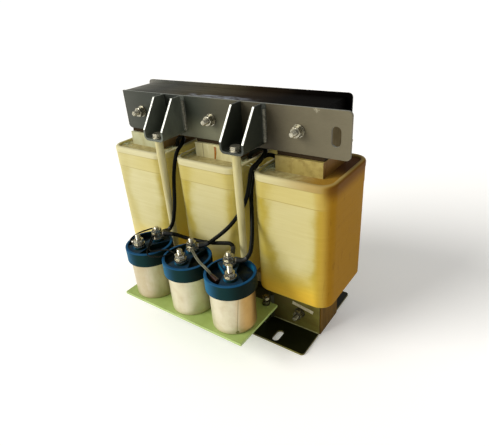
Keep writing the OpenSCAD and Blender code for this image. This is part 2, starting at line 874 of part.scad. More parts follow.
module terminal_studs() {
    root = boss_z - stud_root_z;
    color("#c8c4ae") at_terminals()
        translate([0, 0, -root]) cylinder(h = root + stud_up - boss_up, d = stud_d);
}

module terminal_washers() {
    color("#c9c5b0") at_terminals() {
        washer(stud_d);
        if ($stack_top > 0) translate([0, 0, $stack_top]) washer(stud_d);
    }
}

module terminal_nuts() {
    color("#d2ceb8") at_terminals()
        translate([0, 0, $stack_top + washer_t(stud_d)]) hex_nut(stud_d);
}

// A crimped ring lug: flat ring, short neck and round barrel, pointing along X
module ring_lug(kind) {
    barrel_r = LUG_BARREL_D[kind] / 2;
    neck_w = LUG_RING_R[kind];
    difference() {
        union() {
            cylinder(h = LUG_T[kind], r = LUG_RING_R[kind]);
            translate([0, -neck_w / 2, 0]) cube([lug_barrel_from + 1, neck_w, LUG_T[kind]]);
            translate([lug_barrel_from, 0, LUG_AXIS_Z[kind]]) rotate([0, 90, 0])
                cylinder(h = LUG_LEN[kind] - lug_barrel_from, r = barrel_r);
        }
        translate([0, 0, -cut]) cylinder(h = LUG_T[kind] + 2 * cut, d = washer_hole(stud_d));
    }
}

module terminal_lugs() {
    color("#8f8c7c")
        for (k = [0 : len(LUGS) - 1]) {
            lug = LUGS[k];
            at = terminal(lug[0], lug[1]);
            translate([at[0], at[1], lug_z + stack_h(lug[0], lug[1], k)])
                rotate([0, 0, lug[2]]) ring_lug(lug[3]);
        }
}

// Leads

module phase_lead(route) {
    color("#15140f") cord(route, lead_d, 10);
}

module resistor_leads() {
    color("#8c8c86") {
        cord(RESISTOR_LEAD, wire_d, 8);
        cord([for (q = RESISTOR_LEAD) q + twin_shift], wire_d, 8);
    }
}

module bleed_resistor() {
    r = resistor_d / 2;
    color("#4a2418") translate(resistor_from) rotate([0, 0, resistor_bearing]) rotate([0, 90, 0])
        rotate_extrude() difference() {
            square([r, resistor_len]);
            translate([r, 0]) corner_bite(resistor_edge_r, -1, 1);
            translate([r, resistor_len]) corner_bite(resistor_edge_r, -1, -1);
        }
}

// Tinned flags behind each limb: up from the winding, then folded to the rear
module power_terminals() {
    color("#b9b6ab")
        for (p = PHASES, s = [-1, 1])
            translate([p * limb_pitch + s * flag_pitch / 2, sleeve_d / 2 + flag_out, winding_top])
                difference() {
                    along_x(flag_w) difference() {
                        union() {
                            square([flag_t, flag_h]);
                            translate([0, flag_h - flag_t]) square([flag_reach, flag_t]);
                        }
                        translate([0, flag_h]) corner_bite(flag_t, 1, -1);
                    }
                    translate([0, flag_reach - flag_w / 2, flag_h - flag_t - cut])
                        cylinder(h = flag_t + 2 * cut, d = flag_hole_d);
                }
}

bottom_yoke();
top_yoke();
limb(LEFT);  // limb_left
limb(CENTRE);  // limb_centre
limb(RIGHT);  // limb_right
gap_spacers();
sleeve(LEFT);  // sleeve_left
sleeve(CENTRE);  // sleeve_centre
sleeve(RIGHT);  // sleeve_right
winding(LEFT);  // coil_left
winding(CENTRE);  // coil_centre
winding(RIGHT);  // coil_right
tape_wrap(LEFT);  // tape_left
tape_wrap(CENTRE);  // tape_centre
tape_wrap(RIGHT);  // tape_right
coil_pads();
top_clamp_front();
top_clamp_rear();
base_angle(FRONT);  // base_angle_front
base_angle(REAR);  // base_angle_rear
top_bracket(FRONT, LEFT);  // bracket_top_front_left
top_bracket(FRONT, RIGHT);  // bracket_top_front_right
top_bracket(REAR, LEFT);  // bracket_top_rear_left
top_bracket(REAR, RIGHT);  // bracket_top_rear_right
base_bracket(FRONT, LEFT);  // bracket_base_front_left
base_bracket(FRONT, RIGHT);  // bracket_base_front_right
base_bracket(REAR, LEFT);  // bracket_base_rear_left
base_bracket(REAR, RIGHT);  // bracket_base_rear_right
tie_rods();
rod_tubes(FRONT);  // rod_tubes_front
rod_tubes(REAR);  // rod_tubes_rear
rod_nuts();
rod_washers();
yoke_bolts();
yoke_nuts();
yoke_washers();
yoke_bolt_tubes();
board_rail();
capacitor_board();
board_fixings();
capacitor_can(0);  // capacitor_can_left
capacitor_can(1);  // capacitor_can_centre
capacitor_can(2);  // capacitor_can_right
capacitor_top(0);  // capacitor_top_left
capacitor_top(1);  // capacitor_top_centre
capacitor_top(2);  // capacitor_top_right
can_fixings();
terminal_studs();
terminal_nuts();
terminal_washers();
terminal_lugs();
phase_lead(LEFT_LEAD);  // phase_lead_left
phase_lead(CENTRE_LEAD);  // phase_lead_centre
phase_lead(RIGHT_LEAD);  // phase_lead_right
phase_lead(BRIDGE_LEAD);  // bridge_lead
color("#15140f") cord(LOOP_LEAD, loop_d, 8);  // loop_lead
color("#2a2924") cord(LINK_LEAD, wire_d, 8);  // link_lead
resistor_leads();
bleed_resistor();
power_terminals();
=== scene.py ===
# %% [markdown]
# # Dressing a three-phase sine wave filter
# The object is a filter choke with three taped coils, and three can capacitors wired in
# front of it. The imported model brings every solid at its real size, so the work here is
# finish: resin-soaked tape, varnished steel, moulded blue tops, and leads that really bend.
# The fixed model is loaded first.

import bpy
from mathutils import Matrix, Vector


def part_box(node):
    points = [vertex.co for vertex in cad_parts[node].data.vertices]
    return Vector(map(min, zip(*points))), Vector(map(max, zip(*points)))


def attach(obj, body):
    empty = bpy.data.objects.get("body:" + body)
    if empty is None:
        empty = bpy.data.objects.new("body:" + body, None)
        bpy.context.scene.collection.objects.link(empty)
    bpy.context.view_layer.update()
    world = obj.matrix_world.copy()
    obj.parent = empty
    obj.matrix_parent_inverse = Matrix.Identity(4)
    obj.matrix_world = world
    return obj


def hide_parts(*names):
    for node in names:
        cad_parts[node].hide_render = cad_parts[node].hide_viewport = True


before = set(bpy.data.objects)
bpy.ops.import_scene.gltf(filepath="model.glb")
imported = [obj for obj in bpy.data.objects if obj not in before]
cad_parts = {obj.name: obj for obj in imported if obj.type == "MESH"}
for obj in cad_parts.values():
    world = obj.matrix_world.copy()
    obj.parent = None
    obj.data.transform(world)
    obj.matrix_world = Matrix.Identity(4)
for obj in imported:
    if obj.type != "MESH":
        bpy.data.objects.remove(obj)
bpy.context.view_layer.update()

# %% Libraries and units
import math
import random

import bmesh
import bpy
from mathutils import Matrix, Vector

MM = 0.001
UPWARD, INWARD = Vector((0, 0, 1)), Vector((0, 1, 0))
scene = bpy.context.scene
print("nodes to dress:", len(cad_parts))

# %% [markdown]
# ## Camera
# The photograph looks down at the right front corner and is tilted a little to the left.
# The place, direction and roll were solved from corners whose real places are known. Blender
# wants the camera's own three axes, so they are built from azimuth, elevation and roll.

# %% Place the camera
CAMERA_AT = Vector((391.6, -491.8, 480.7)) * MM
CAMERA_AZIMUTH, CAMERA_ELEVATION, CAMERA_ROLL = map(math.radians, (37.07, 28.62, -4.41))
PHOTO_WIDTH_PX = 489
FOCAL_LENGTH_PX = 428.2
SENSOR_MM = 36


def from_direction(azimuth, elevation):
    """Unit vector out from the object. Azimuth 0 is the front, and more is to the right."""
    return Vector((
        math.sin(azimuth) * math.cos(elevation),
        -math.cos(azimuth) * math.cos(elevation),
        math.sin(elevation),
    ))


back = from_direction(CAMERA_AZIMUTH, CAMERA_ELEVATION)
level_right = UPWARD.cross(back).normalized()
level_up = back.cross(level_right)
right = math.cos(CAMERA_ROLL) * level_right + math.sin(CAMERA_ROLL) * level_up
axes = Matrix((right, back.cross(right), back)).transposed()

camera_data = bpy.data.cameras.new("photo_camera")
camera_data.sensor_width = SENSOR_MM
camera_data.lens = FOCAL_LENGTH_PX / PHOTO_WIDTH_PX * SENSOR_MM
camera = bpy.data.objects.new("photo_camera", camera_data)
camera.matrix_world = Matrix.Translation(CAMERA_AT) @ axes.to_4x4()
scene.collection.objects.link(camera)
scene.camera = camera
print("lens in mm:", round(camera_data.lens, 2))

# %% [markdown]
# ## Colour and nodes
# Colours are picked as sRGB hex, the way a screen shows them, while shaders calculate in
# linear light, so one function converts. Another adds a shader node with its settings and
# links in one line, to the finish that was started last. That keeps each finish short
# enough to read as a recipe.

# %% Colours and nodes
def colour(hex_text):
    """Turns an sRGB colour such as "c8c4ae" into linear RGBA, by the sRGB standard's curve."""
    channels = [int(hex_text[i:i + 2], 16) / 255 for i in (0, 2, 4)]
    linear = [c / 12.92 if c <= 0.04045 else ((c + 0.055) / 1.055) ** 2.4 for c in channels]
    return (*linear, 1)


finishes = {}


def new_finish(name, rough, settings=None):
    """Starts a material with one Principled shader, kept by its name in finishes."""
    mat = finishes[name] = bpy.data.materials.new(name)
    mat.use_nodes = True
    for key, value in {"Roughness": rough, **(settings or {})}.items():
        mat.node_tree.nodes["Principled BSDF"].inputs[key].default_value = value


def newest_tree():
    """The nodes and links of the finish that was started last."""
    return list(finishes.values())[-1].node_tree


def add(kind, settings=None, links=None):
    """Adds a node to the newest finish. A setting is a property or an unlinked input, and a
    link is an output."""
    made = newest_tree().nodes.new("ShaderNode" + kind)
    for key, value in (settings or {}).items():
        if key == "stops":
            while len(made.color_ramp.elements) < len(value):
                made.color_ramp.elements.new(1)
            for element, (at, shade) in zip(made.color_ramp.elements, value):
                element.position = at
                element.color = colour(shade)
        elif isinstance(key, str) and hasattr(made, key):
            setattr(made, key, value)
        else:
            made.inputs[key].default_value = value
    for key, output in (links or {}).items():
        newest_tree().links.new(output, made.inputs[key])
    return made


# Input and output numbers of a colour Mix node, whose sockets share names
MIX_SHARE, MIX_A, MIX_B, MIX_OUT = 0, 6, 7, 2
print("white is", colour("ffffff")[:3])

# %% [markdown]
# ## Where a colour changes
# Old varnish and resin are never one colour: they run with height and along the coil. Light
# and shade are painted in as well, on the sides that face one way, in corners and as cast
# shadows. Each such change is a share from 0 to 1 over a real distance, read from the
# surface's place or from the way it faces. Blotches are the same kind of share, made from
# noise of a real size. Multiplied shares hold only where all of them do. A finish is then a
# ground with coats laid over it, and a grain.

# %% Shares of a surface
X, Y, Z = 0, 1, 2


def place():
    """The surface's own place in metres, which is the same at every pose."""
    return add("TexCoord").outputs["Object"]


def share_along(vector, axis, start, end, ease="SMOOTHSTEP"):
    """A share from 0 at start to 1 at end along one axis of a vector."""
    parts = add("SeparateXYZ", links={"Vector": vector}).outputs
    return add("MapRange", {"interpolation_type": ease, "From Min": start, "From Max": end},
               {"Value": parts[axis]}).outputs[0]


def run(axis, start_mm, end_mm):
    """A share that grows from one place on the object to another."""
    return share_along(place(), axis, start_mm * MM, end_mm * MM)


def facing(axis, start, end):
    """A share by the way the surface faces, where 1 is straight along the axis."""
    return share_along(add("NewGeometry").outputs["Normal"], axis, start, end)


def blotches(size_mm, low=0.36, high=0.66, stretch=(1, 1, 1), detail=4):
    """A share in soft blotches of a real size, drawn out where stretch is below 1."""
    drawn = add("VectorMath", {"operation": "MULTIPLY", 1: stretch}, {0: place()})
    noise = add("TexNoise", {"Scale": 1 / (size_mm * MM), "Detail": detail, "Roughness": 0.58},
                {"Vector": drawn.outputs[0]})
    return add("MapRange", {"From Min": low, "From Max": high},
               {"Value": noise.outputs[0]}).outputs[0]


def corner_shade_and_grime(reach_mm):
    """A share that is 1 deep in a corner: painted shade, and grime that stays when open faces are
    wiped.
    """
    open_to = add("AmbientOcclusion", {"samples": 8, "Distance": reach_mm * MM}).outputs["AO"]
    return add("MapRange", {"From Min": 0.8, "From Max": 0.35}, {"Value": open_to}).outputs[0]


def near(centre, reach_mm, uneven_mm, noise_mm):
    """A share that is 1 at a place and 0 past a ragged edge round it."""
    away = add("VectorMath", {"operation": "DISTANCE", 1: centre}, {0: place()})
    ragged = add("Math", {"operation": "MULTIPLY_ADD", 1: uneven_mm * MM}, {
        0: blotches(noise_mm), 2: away.outputs["Value"]})
    return add("MapRange", {"From Min": reach_mm * MM, "From Max": reach_mm * 0.8 * MM},
               {"Value": ragged.outputs[0]}).outputs[0]


print("axes:", X, Y, Z)

# %% Coats and grain
def where_all(*shares):
    """The share where every one of the shares holds. A plain number thins the rest."""
    both = shares[0]
    for share in shares[1:]:
        settings, links = {"operation": "MULTIPLY"}, {0: both}
        (settings if isinstance(share, (int, float)) else links)[1] = share
        both = add("Math", settings, links).outputs[0]
    return both


def coats(ground, *layers):
    """Lays coats over a ground. Each is a share, or shares that must all hold, then a colour,
    and a way to mix if it isn't the plain one."""
    tone = ground
    for shares, shade, *way in layers:
        share = where_all(*shares) if isinstance(shares, tuple) else shares
        settings = {"data_type": "RGBA", "blend_type": way[0] if way else "MIX", MIX_B: colour(shade)}
        links = {MIX_SHARE: share}
        if isinstance(tone, str):
            settings[MIX_A] = colour(tone)
        else:
            links[MIX_A] = tone
        tone = add("Mix", settings, links).outputs[MIX_OUT]
    return tone


def shaded_along(node, stops):
    """Colours that follow each other from a node's left end, at 0, to its right end, at 1."""
    low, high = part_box(node)
    share = share_along(place(), X, low.x, high.x, "LINEAR")
    return add("ValToRGB", {"stops": stops}, {"Fac": share}).outputs[0]


def surface(tone, height, depth_mm, strength=0.5, edge_mm=0):
    """Gives a finish its colour and its grain, and rounds sharp edges for the light by edge_mm."""
    links = {"Height": height}
    if edge_mm:
        links["Normal"] = add("Bevel", {"samples": 4, "Radius": edge_mm * MM}).outputs[0]
    bump = add("Bump", {"Strength": strength, "Distance": depth_mm * MM}, links)
    tree = newest_tree()
    shader = tree.nodes["Principled BSDF"].inputs
    tree.links.new(tone, shader["Base Color"])
    tree.links.new(bump.outputs[0], shader["Normal"])


print("coats mix sockets", MIX_A, "and", MIX_B)

# %% [markdown]
# ## Cables
# Three black phase leads run from the capacitors up past the tie rods into the coils, a
# bridge joins two terminals, and thin wires do the rest. PVC insulation is matt with a soft
# highlight. The listed points are the route that the solid model has, and a
# centripetal Catmull-Rom curve passes through every one of them without overshooting.

# %% Insulation finishes
def insulation(name, shade, dusty):
    """PVC insulation: extruded and smooth, with a little dust that dulls it."""
    new_finish(name, 0.45, {"IOR": 1.53, "Specular IOR Level": 0.06})
    dust = blotches(9)
    surface(coats(shade, ((dust, 0.6), dusty)), dust, 0.2, 0.15)


insulation("black_pvc", "060704", "0f110a")
insulation("grey_pvc", "62624f", "7e7e6c")
print("insulation:", sorted(finishes))

# %% Lead routes, in millimetres as in the solid model
LEAD_D, LOOP_D, WIRE_D = 6, 2.5, 2
ROUTES = {
    "phase_lead_left": (LEAD_D, "black_pvc", [
        (-65.4, -91.6, 153.5), (-64.2, -87.5, 154.3), (-60.8, -81.5, 163), (-58.5, -76.5, 181),
        (-58.5, -71.5, 200), (-61, -66, 219), (-63.7, -59, 239), (-63.7, -52.5, 258),
        (-61.5, -47, 271.5), (-60, -38, 279), (-63, -29, 283), (-71, -22, 284),
        (-83, -17.5, 280.5), (-90, -15.5, 273), (-91, -15.5, 264)]),
    "phase_lead_centre": (LEAD_D, "black_pvc", [
        (14.5, -97.5, 153.5), (20, -92.5, 155.5), (27.5, -84.5, 161.5), (44, -71.5, 178),
        (59.5, -64.5, 200), (70, -58.5, 223), (75.8, -56.5, 246), (80.5, -53.5, 270),
        (87, -47, 277), (89.5, -40, 283), (88, -31, 286.5), (81, -23, 287),
        (70, -17, 283.5), (58, -13, 277), (50, -12, 271.5), (48.5, -12, 264)]),
    "phase_lead_right": (LEAD_D, "black_pvc", [
        (87.5, -103.5, 153.5), (93, -99.5, 155.5), (96, -93.5, 162.5), (95, -87, 172),
        (88.5, -74, 188.5), (80, -60.5, 206), (73, -49.5, 227), (72.5, -43.5, 245.5),
        (76.7, -41, 265), (83, -35, 277.5), (89, -27, 281), (94.5, -19.5, 278),
        (97, -15, 271.5), (97.5, -14, 264)]),
    "bridge_lead": (LEAD_D, "black_pvc", [
        (-55, -100, 155.5), (-46, -94, 153), (-32, -87.5, 148), (-14, -84, 146.5),
        (5, -83, 148), (24, -83, 152), (42, -83, 157), (54, -83.5, 160),
        (62, -87, 159), (66.5, -94.5, 155.5)]),
    "loop_lead": (LOOP_D, "black_pvc", [
        (-90.5, -142, 152.5), (-99, -138.5, 151), (-104.5, -128, 150), (-105.5, -116, 150),
        (-100, -104.5, 151), (-90.5, -98.5, 154), (-80, -101, 156.5)]),
    "link_lead": (WIRE_D, "black_pvc", [
        (-67, -119.5, 158), (-65.5, -127, 154), (-61, -136.5, 149), (-52, -141.5, 147),
        (-40, -137, 149), (-28, -132.5, 151.5), (-15, -133.5, 152.5), (-4.5, -136, 152.5)]),
    "resistor_leads": (WIRE_D, "grey_pvc", [
        (8.8, -117.8, 154.5), (17, -124, 155.5), (34, -133, 152), (52, -139, 149),
        (57.5, -139.5, 145.5), (60.5, -139.5, 141.5)]),
}
TWIN_SHIFT = Vector((1.2, 1.8, 0)) * MM
# A second thin wire hangs out over the rim of the left capacitor beside the link
SECOND_LINK = [
    (-68, -118, 157.5), (-62.5, -124, 156.5), (-57, -137.5, 153.5), (-51, -149.5, 150.2),
    (-42, -154.5, 149.2), (-31, -151.5, 149.2), (-20, -144, 150), (-14.5, -134, 151),
    (-14, -121, 152.5), (-10.5, -112, 154), (-5.5, -107.8, 155.3)]
print("routes:", {name: len(points) for name, (_, _, points) in ROUTES.items()})

# %% Sweep the leads
POINTS_PER_GAP = 6
ROUNDNESS = 4


def smooth_route(points_mm):
    """Points on a centripetal Catmull-Rom curve through a route."""
    corners = [Vector(p) * MM for p in points_mm]
    ends = [2 * corners[0] - corners[1], *corners, 2 * corners[-1] - corners[-2]]
    line = []
    for a, b, c, d in zip(ends, ends[1:], ends[2:], ends[3:]):
        ta, tb = 0, (b - a).length ** 0.5
        tc = tb + (c - b).length ** 0.5
        td = tc + (d - c).length ** 0.5
        for k in range(POINTS_PER_GAP):
            t = tb + (tc - tb) * k / POINTS_PER_GAP
            ab = a.lerp(b, (t - ta) / (tb - ta))
            bc = b.lerp(c, (t - tb) / (tc - tb))
            cd = c.lerp(d, (t - tc) / (td - tc))
            abc, bcd = ab.lerp(bc, (t - ta) / (tc - ta)), bc.lerp(cd, (t - tb) / (td - tb))
            line.append(abc.lerp(bcd, (t - tb) / (tc - tb)))
    return [*line, corners[-1]]


def lead(name, node, line, diameter_mm, finish):
    """A round cord along a line, which stands for the node's plain tube."""
    curve = bpy.data.curves.new(name, "CURVE")
    curve.dimensions = "3D"
    curve.bevel_depth = diameter_mm / 2 * MM
    curve.bevel_resolution = ROUNDNESS
    curve.use_fill_caps = True
    spline = curve.splines.new("POLY")
    spline.points.add(len(line) - 1)
    for point, at in zip(spline.points, line):
        point.co = (*at, 1)
    spline.use_smooth = True
    curve.materials.append(finishes[finish])
    cable = bpy.data.objects.new(name, curve)
    scene.collection.objects.link(cable)
    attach(cable, "root")
    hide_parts(node)


for name, (diameter_mm, finish, points) in ROUTES.items():
    line = smooth_route(points)
    lead(name, name, line, diameter_mm, finish)
    if name == "resistor_leads":
        lead("resistor_lead_twin", name, [at + TWIN_SHIFT for at in line], diameter_mm, finish)
lead("link_lead_second", "link_lead", smooth_route(SECOND_LINK), WIRE_D, "black_pvc")

# %% [markdown]
# ## Floor and light
# The photograph is a studio shot on white, lit softly from the left front: each bracket
# throws its shadow to the right and the right ends of the coils are in the shade. A wide
# sun lamp is that soft box, and a pale sky is the fill that the white room gives.

# %% Build the floor and the wall
FLOOR_HALF, FLOOR_BELOW = 40, 0.1 * MM
WALL_RADIUS, WALL_HEIGHT, WALL_SIDES = 6, 6, 48


def studio_piece(name, points, faces, finish):
    """A plain mesh of the studio, which isn't part of the object."""
    mesh = bpy.data.meshes.new(name)
    mesh.from_pydata(points, [], faces)
    mesh.materials.append(finishes[finish])
    made = bpy.data.objects.new(name, mesh)
    scene.collection.objects.link(made)
    return made


new_finish("floor_paint", 0.9, {"Base Color": colour("fbfaf8"), "Emission Color": colour("ffffff"),
                                "Emission Strength": 0.16})
studio_piece(
    "studio_floor",
    [(x * FLOOR_HALF, y * FLOOR_HALF, -FLOOR_BELOW) for x, y in ((-1, -1), (1, -1), (1, 1), (-1, 1))],
    [(0, 1, 2, 3)], "floor_paint")
# A white paper wall stands round the floor. Only the camera sees it, so it adds no light
new_finish("white_paper", 0.5, {"Base Color": colour("000000"), "Emission Color": colour("ffffff"),
                                "Emission Strength": 1})
wall = studio_piece(
    "paper_wall",
    [(WALL_RADIUS * math.cos(turn), WALL_RADIUS * math.sin(turn), z) for z in (0, WALL_HEIGHT)
     for turn in (math.tau * k / WALL_SIDES for k in range(WALL_SIDES))],
    [(k, (k + 1) % WALL_SIDES, WALL_SIDES + (k + 1) % WALL_SIDES, WALL_SIDES + k)
     for k in range(WALL_SIDES)], "white_paper")
wall.visible_diffuse = wall.visible_glossy = wall.visible_transmission = wall.visible_shadow = False
print("staged: studio_floor and", wall.name)

# %% Light the studio
SUN_AZIMUTH, SUN_ELEVATION, SUN_WIDTH = map(math.radians, (-40, 29, 38))
SUN_STRENGTH, SUN_COLOUR = 3.5, (1, 0.99, 0.965)
SUN_AWAY, SUN_AIMS_AT = 2, Vector((0, 0, 150)) * MM
SKY_STRENGTH, SKY_COLOUR = 0.45, "faf9f5"

sun = bpy.data.lights.new("soft_box", "SUN")
sun.energy, sun.angle, sun.color = SUN_STRENGTH, SUN_WIDTH, SUN_COLOUR
soft_box = bpy.data.objects.new("soft_box", sun)
towards_sun = from_direction(SUN_AZIMUTH, SUN_ELEVATION)
soft_box.location = towards_sun * SUN_AWAY + SUN_AIMS_AT
soft_box.rotation_mode = "QUATERNION"
soft_box.rotation_quaternion = (-towards_sun).to_track_quat("-Z", "Y")
scene.collection.objects.link(soft_box)

scene.world = bpy.data.worlds.new("studio_fill")
scene.world.use_nodes = True
sky = scene.world.node_tree.nodes["Background"].inputs
sky["Color"].default_value, sky["Strength"].default_value = colour(SKY_COLOUR), SKY_STRENGTH
scene.view_settings.view_transform = "Standard"

# %% [markdown]
# ## Polyester glass tape
# Each coil is wrapped in woven polyester glass tape and soaked in resin that bakes yellow.
# What the eye sees is a satin cream face with fine level lines where the turns of tape lie,
# a paler oval in the middle that is a painted sheen, amber at the foot where it ran together,
# and a cream band round the rim with painted shadow lines under it and under the seam. The
# right corners and the sides that face right carry painted shade in yellow and amber. The
# colour runs with height and with the distance from each coil's middle, which repeats every
# limb pitch.

# %% Make the tape finish
LIMB_PITCH = 140 * MM
COIL_TOP_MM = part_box("tape_centre")[1].z / MM
SEAM_MM, BAND_MM = COIL_TOP_MM - 32, COIL_TOP_MM - 9
# The paler oval on each coil's face is a painted sheen
SHEEN_OVAL_MIDDLE = Vector((6, 0, 205)) * MM
SHEEN_OVAL_HALF = (33 * MM, 86 * MM)
# The weave is about 1 mm. It would be lost at this picture size, so it is drawn twice as coarse
TAPE_LINE_MM = 2.08
LEVEL = (0.05, 0.05, 1)


def from_limb():
    """Signed distance from the nearest limb's middle, as a vector with the height."""
    parts = add("SeparateXYZ", links={"Vector": place()}).outputs
    wrapped = add("Math", {"operation": "WRAP", 1: LIMB_PITCH / 2, 2: -LIMB_PITCH / 2},
                  {0: parts[X]})
    return add("CombineXYZ", links={0: wrapped.outputs[0], 1: parts[Y], 2: parts[Z]}).outputs[0]


def from_sheen_oval(local):
    """Uneven distance from the middle of the painted sheen's oval, where 1 is its own edge."""
    moved = add("VectorMath", {"operation": "SUBTRACT", 1: SHEEN_OVAL_MIDDLE}, {0: local})
    flat = add("VectorMath", {
        "operation": "MULTIPLY", 1: (1 / SHEEN_OVAL_HALF[0], 0, 1 / SHEEN_OVAL_HALF[1])},
        {0: moved.outputs[0]})
    reach = add("VectorMath", {"operation": "LENGTH"}, {0: flat.outputs[0]})
    return add("Math", {"operation": "MULTIPLY_ADD", 1: 0.55},
               {0: blotches(40, 0.2, 0.8), 2: reach.outputs["Value"]}).outputs[0]


def past(distance, start, end):
    """A share from 0 at one distance to 1 at another."""
    return add("MapRange", {
        "interpolation_type": "SMOOTHSTEP", "From Min": start, "From Max": end},
        {"Value": distance}).outputs[0]


def shadow_under_edge(edge_mm):
    """A thin line just below an edge of the tape, for a painted shadow."""
    return where_all(run(Z, edge_mm - 1.6, edge_mm - 0.4), run(Z, edge_mm + 0.1, edge_mm - 0.1))


# Woven polyester glass tape, resin soaked: satin, with level lines drawn coarse to show
new_finish("polyester_glass_tape", 0.5, {"Specular IOR Level": 0.03})
local = from_limb()
away = from_sheen_oval(local)
foot = where_all(run(Z, 140, 96), blotches(30, 0.1, 0.45))
last_coil = run(X, 130, 165)
right_corner_shade = share_along(local, X, 34 * MM, 50 * MM)
above_seam = run(Z, SEAM_MM - 3, SEAM_MM)
band = run(Z, BAND_MM - 0.3, BAND_MM)
right_side = facing(X, 0.2, 0.9)
last_side = where_all(right_side, run(X, 165, 190))
lines = blotches(TAPE_LINE_MM, 0.3, 0.7, LEVEL, 5)
tone = coats(
    "b1a767",
    # A yellower ring, and inside it the paler oval of painted sheen
    ((past(away, 1.15, 1.5), past(away, 2.2, 1.6), 0.9), "a59439"),
    (past(away, 1.65, 0.95), "c2bb8e"),
    ((blotches(60), 0.25), "bcb078"),
    ((foot, 0.9), "d3b94e"),
    ((foot, run(Z, 118, 88), 0.8), "e3ba3e"),
    # Painted shade: yellower towards each coil's right corner, most of all on the last coil
    ((right_corner_shade, 0.5), "ad9a45"),
    ((right_corner_shade, last_coil, 0.9), "b29230"),
    ((above_seam, 0.6), "bdb070"),
    # Painted shade above the seam at the last coil's right corner
    ((above_seam, right_corner_shade, last_coil, 0.7), "b59a4c"),
    ((band, 0.9), "c3bd98"),
    ((band, run(X, 105, 185), 0.85), "9d8348"),
    ((run(X, -120, -185), 0.55), "c3bd95"),
    # Painted shadow lines under the outer layer's edge and under the band
    ((shadow_under_edge(SEAM_MM), 0.5), "7d6a2e"),
    ((shadow_under_edge(BAND_MM), 0.4), "7d6c34"),
    # Slightly darker towards the right. Painted shade: the sides that face right are yellower,
    # and the last one is amber and brown up to its rim
    (run(X, -60, 150), "f8f5ea", "MULTIPLY"),
    ((right_side, 0.7), "e2d272"),
    ((last_side, 0.97), "a07210"),
    ((last_side, run(Z, 240, 262), 0.95), "6c4512"),
    # Lines of tape everywhere, and scratches on the last side
    ((lines, 0.14), "c9bb86", "MULTIPLY"),
    ((blotches(9, 0.35, 0.65, LEVEL, 5), 0.1), "cfc497", "MULTIPLY"),
    ((blotches(2.2, 0.6, 0.75, (1, 0.35, 0.12)), last_side, 0.5), "6b4c16"),
)
surface(tone, lines, 0.3, 0.3)
print("seam at", round(SEAM_MM, 1), "mm, band from", round(BAND_MM, 1), "mm")

# %% [markdown]
# ## Sleeves on the limbs
# A sheet of varnished glass cloth is folded round each limb to keep the coil off the core.
# It is cream, browner to the right, and rubbed on its folds, with painted shade on the sides
# that face right. The middle one has a crease, drawn as a painted dark line of shade, and a run
# of brown varnish. The run is a small raised bead, so it gets its own mesh further on.

# %% Make the sleeve and coil-end finishes
CREASE_MM = -20
SLEEVE_FRONT_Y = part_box("sleeve_centre")[0].y

# Varnished glass cloth, folded from sheet. It is satin, with a faint upright grain
new_finish("varnished_glass_sleeve", 0.45, {"Specular IOR Level": 0.25})
front_mm = SLEEVE_FRONT_Y / MM
# A painted line of shade down the middle sleeve's crease
crease = where_all(run(X, CREASE_MM - 1.1, CREASE_MM - 0.3), run(X, CREASE_MM + 0.7, CREASE_MM + 0.1),
                   run(Y, front_mm + 2, front_mm + 1))
to_the_right = run(X, 40, 120)
grain = blotches(2.4, 0.3, 0.7, (1, 1, 0.06))
tone = coats(
    "b3b492",
    (run(X, -110, 0), "c3bc90"),
    (to_the_right, "a08f50"),
    ((blotches(18, stretch=(1, 1, 0.5)), 0.45), "8f8148"),
    ((blotches(9, 0.45, 0.7), to_the_right, 0.55), "6f5a25"),
    ((grain, 0.2), "d8d0a8", "MULTIPLY"),
    # Painted shade on the sides that face right
    ((facing(X, 0.5, 0.95), 0.8), "c58d3c", "MULTIPLY"),
    ((crease, 0.8), "5c4a25"),
)
surface(tone, grain, 0.15, 0.4, 0.6)

# Glass roving and cloth at the coil's end, stiff with resin: matt, fibrous, uneven
new_finish("resin_glass_cloth", 0.6, {"Specular IOR Level": 0.1})
fibres = blotches(1.6, 0.3, 0.7, (0.35, 1, 1), 6)
tone = coats(
    "bcb07a",
    ((blotches(7, 0.4, 0.62), 0.55), "8c7a45"),
    ((fibres, 0.4), "6f5f33"),
    (run(X, 130, 178), "957024"),
    # Painted shade: darker towards the back, under the clamp sheets and the yoke
    (run(Y, -30, 10), "8f7236", "MULTIPLY"),
)
surface(tone, fibres, 0.8, 0.8)
print("sleeve front at y", round(SLEEVE_FRONT_Y / MM, 1))

# %% [markdown]
# ## Sheet steel
# The upper clamping sheets, brackets and base angles are folded or cut steel sheet. They
# are zinc plated and lightly varnished: a grey with a green cast, and olive below where resin
# dripped. The front sheet carries painted shadows of the brackets and painted reflections,
# which leave it brightest at its right end, and a painted highlight along its top edge. The
# slanting edges of the brackets are cut metal without a finish, so a share of the way they
# face makes them bright, as a painted highlight. The base angles' flange is painted darker on
# the left, in the shade of the board, and has a painted highlight along its fold.

# %% Make the sheet steel finishes
BRACKET_SLOPE = (0, 0.82, 0.58)
CHIP_AT = Vector((164, -33, 350)) * MM

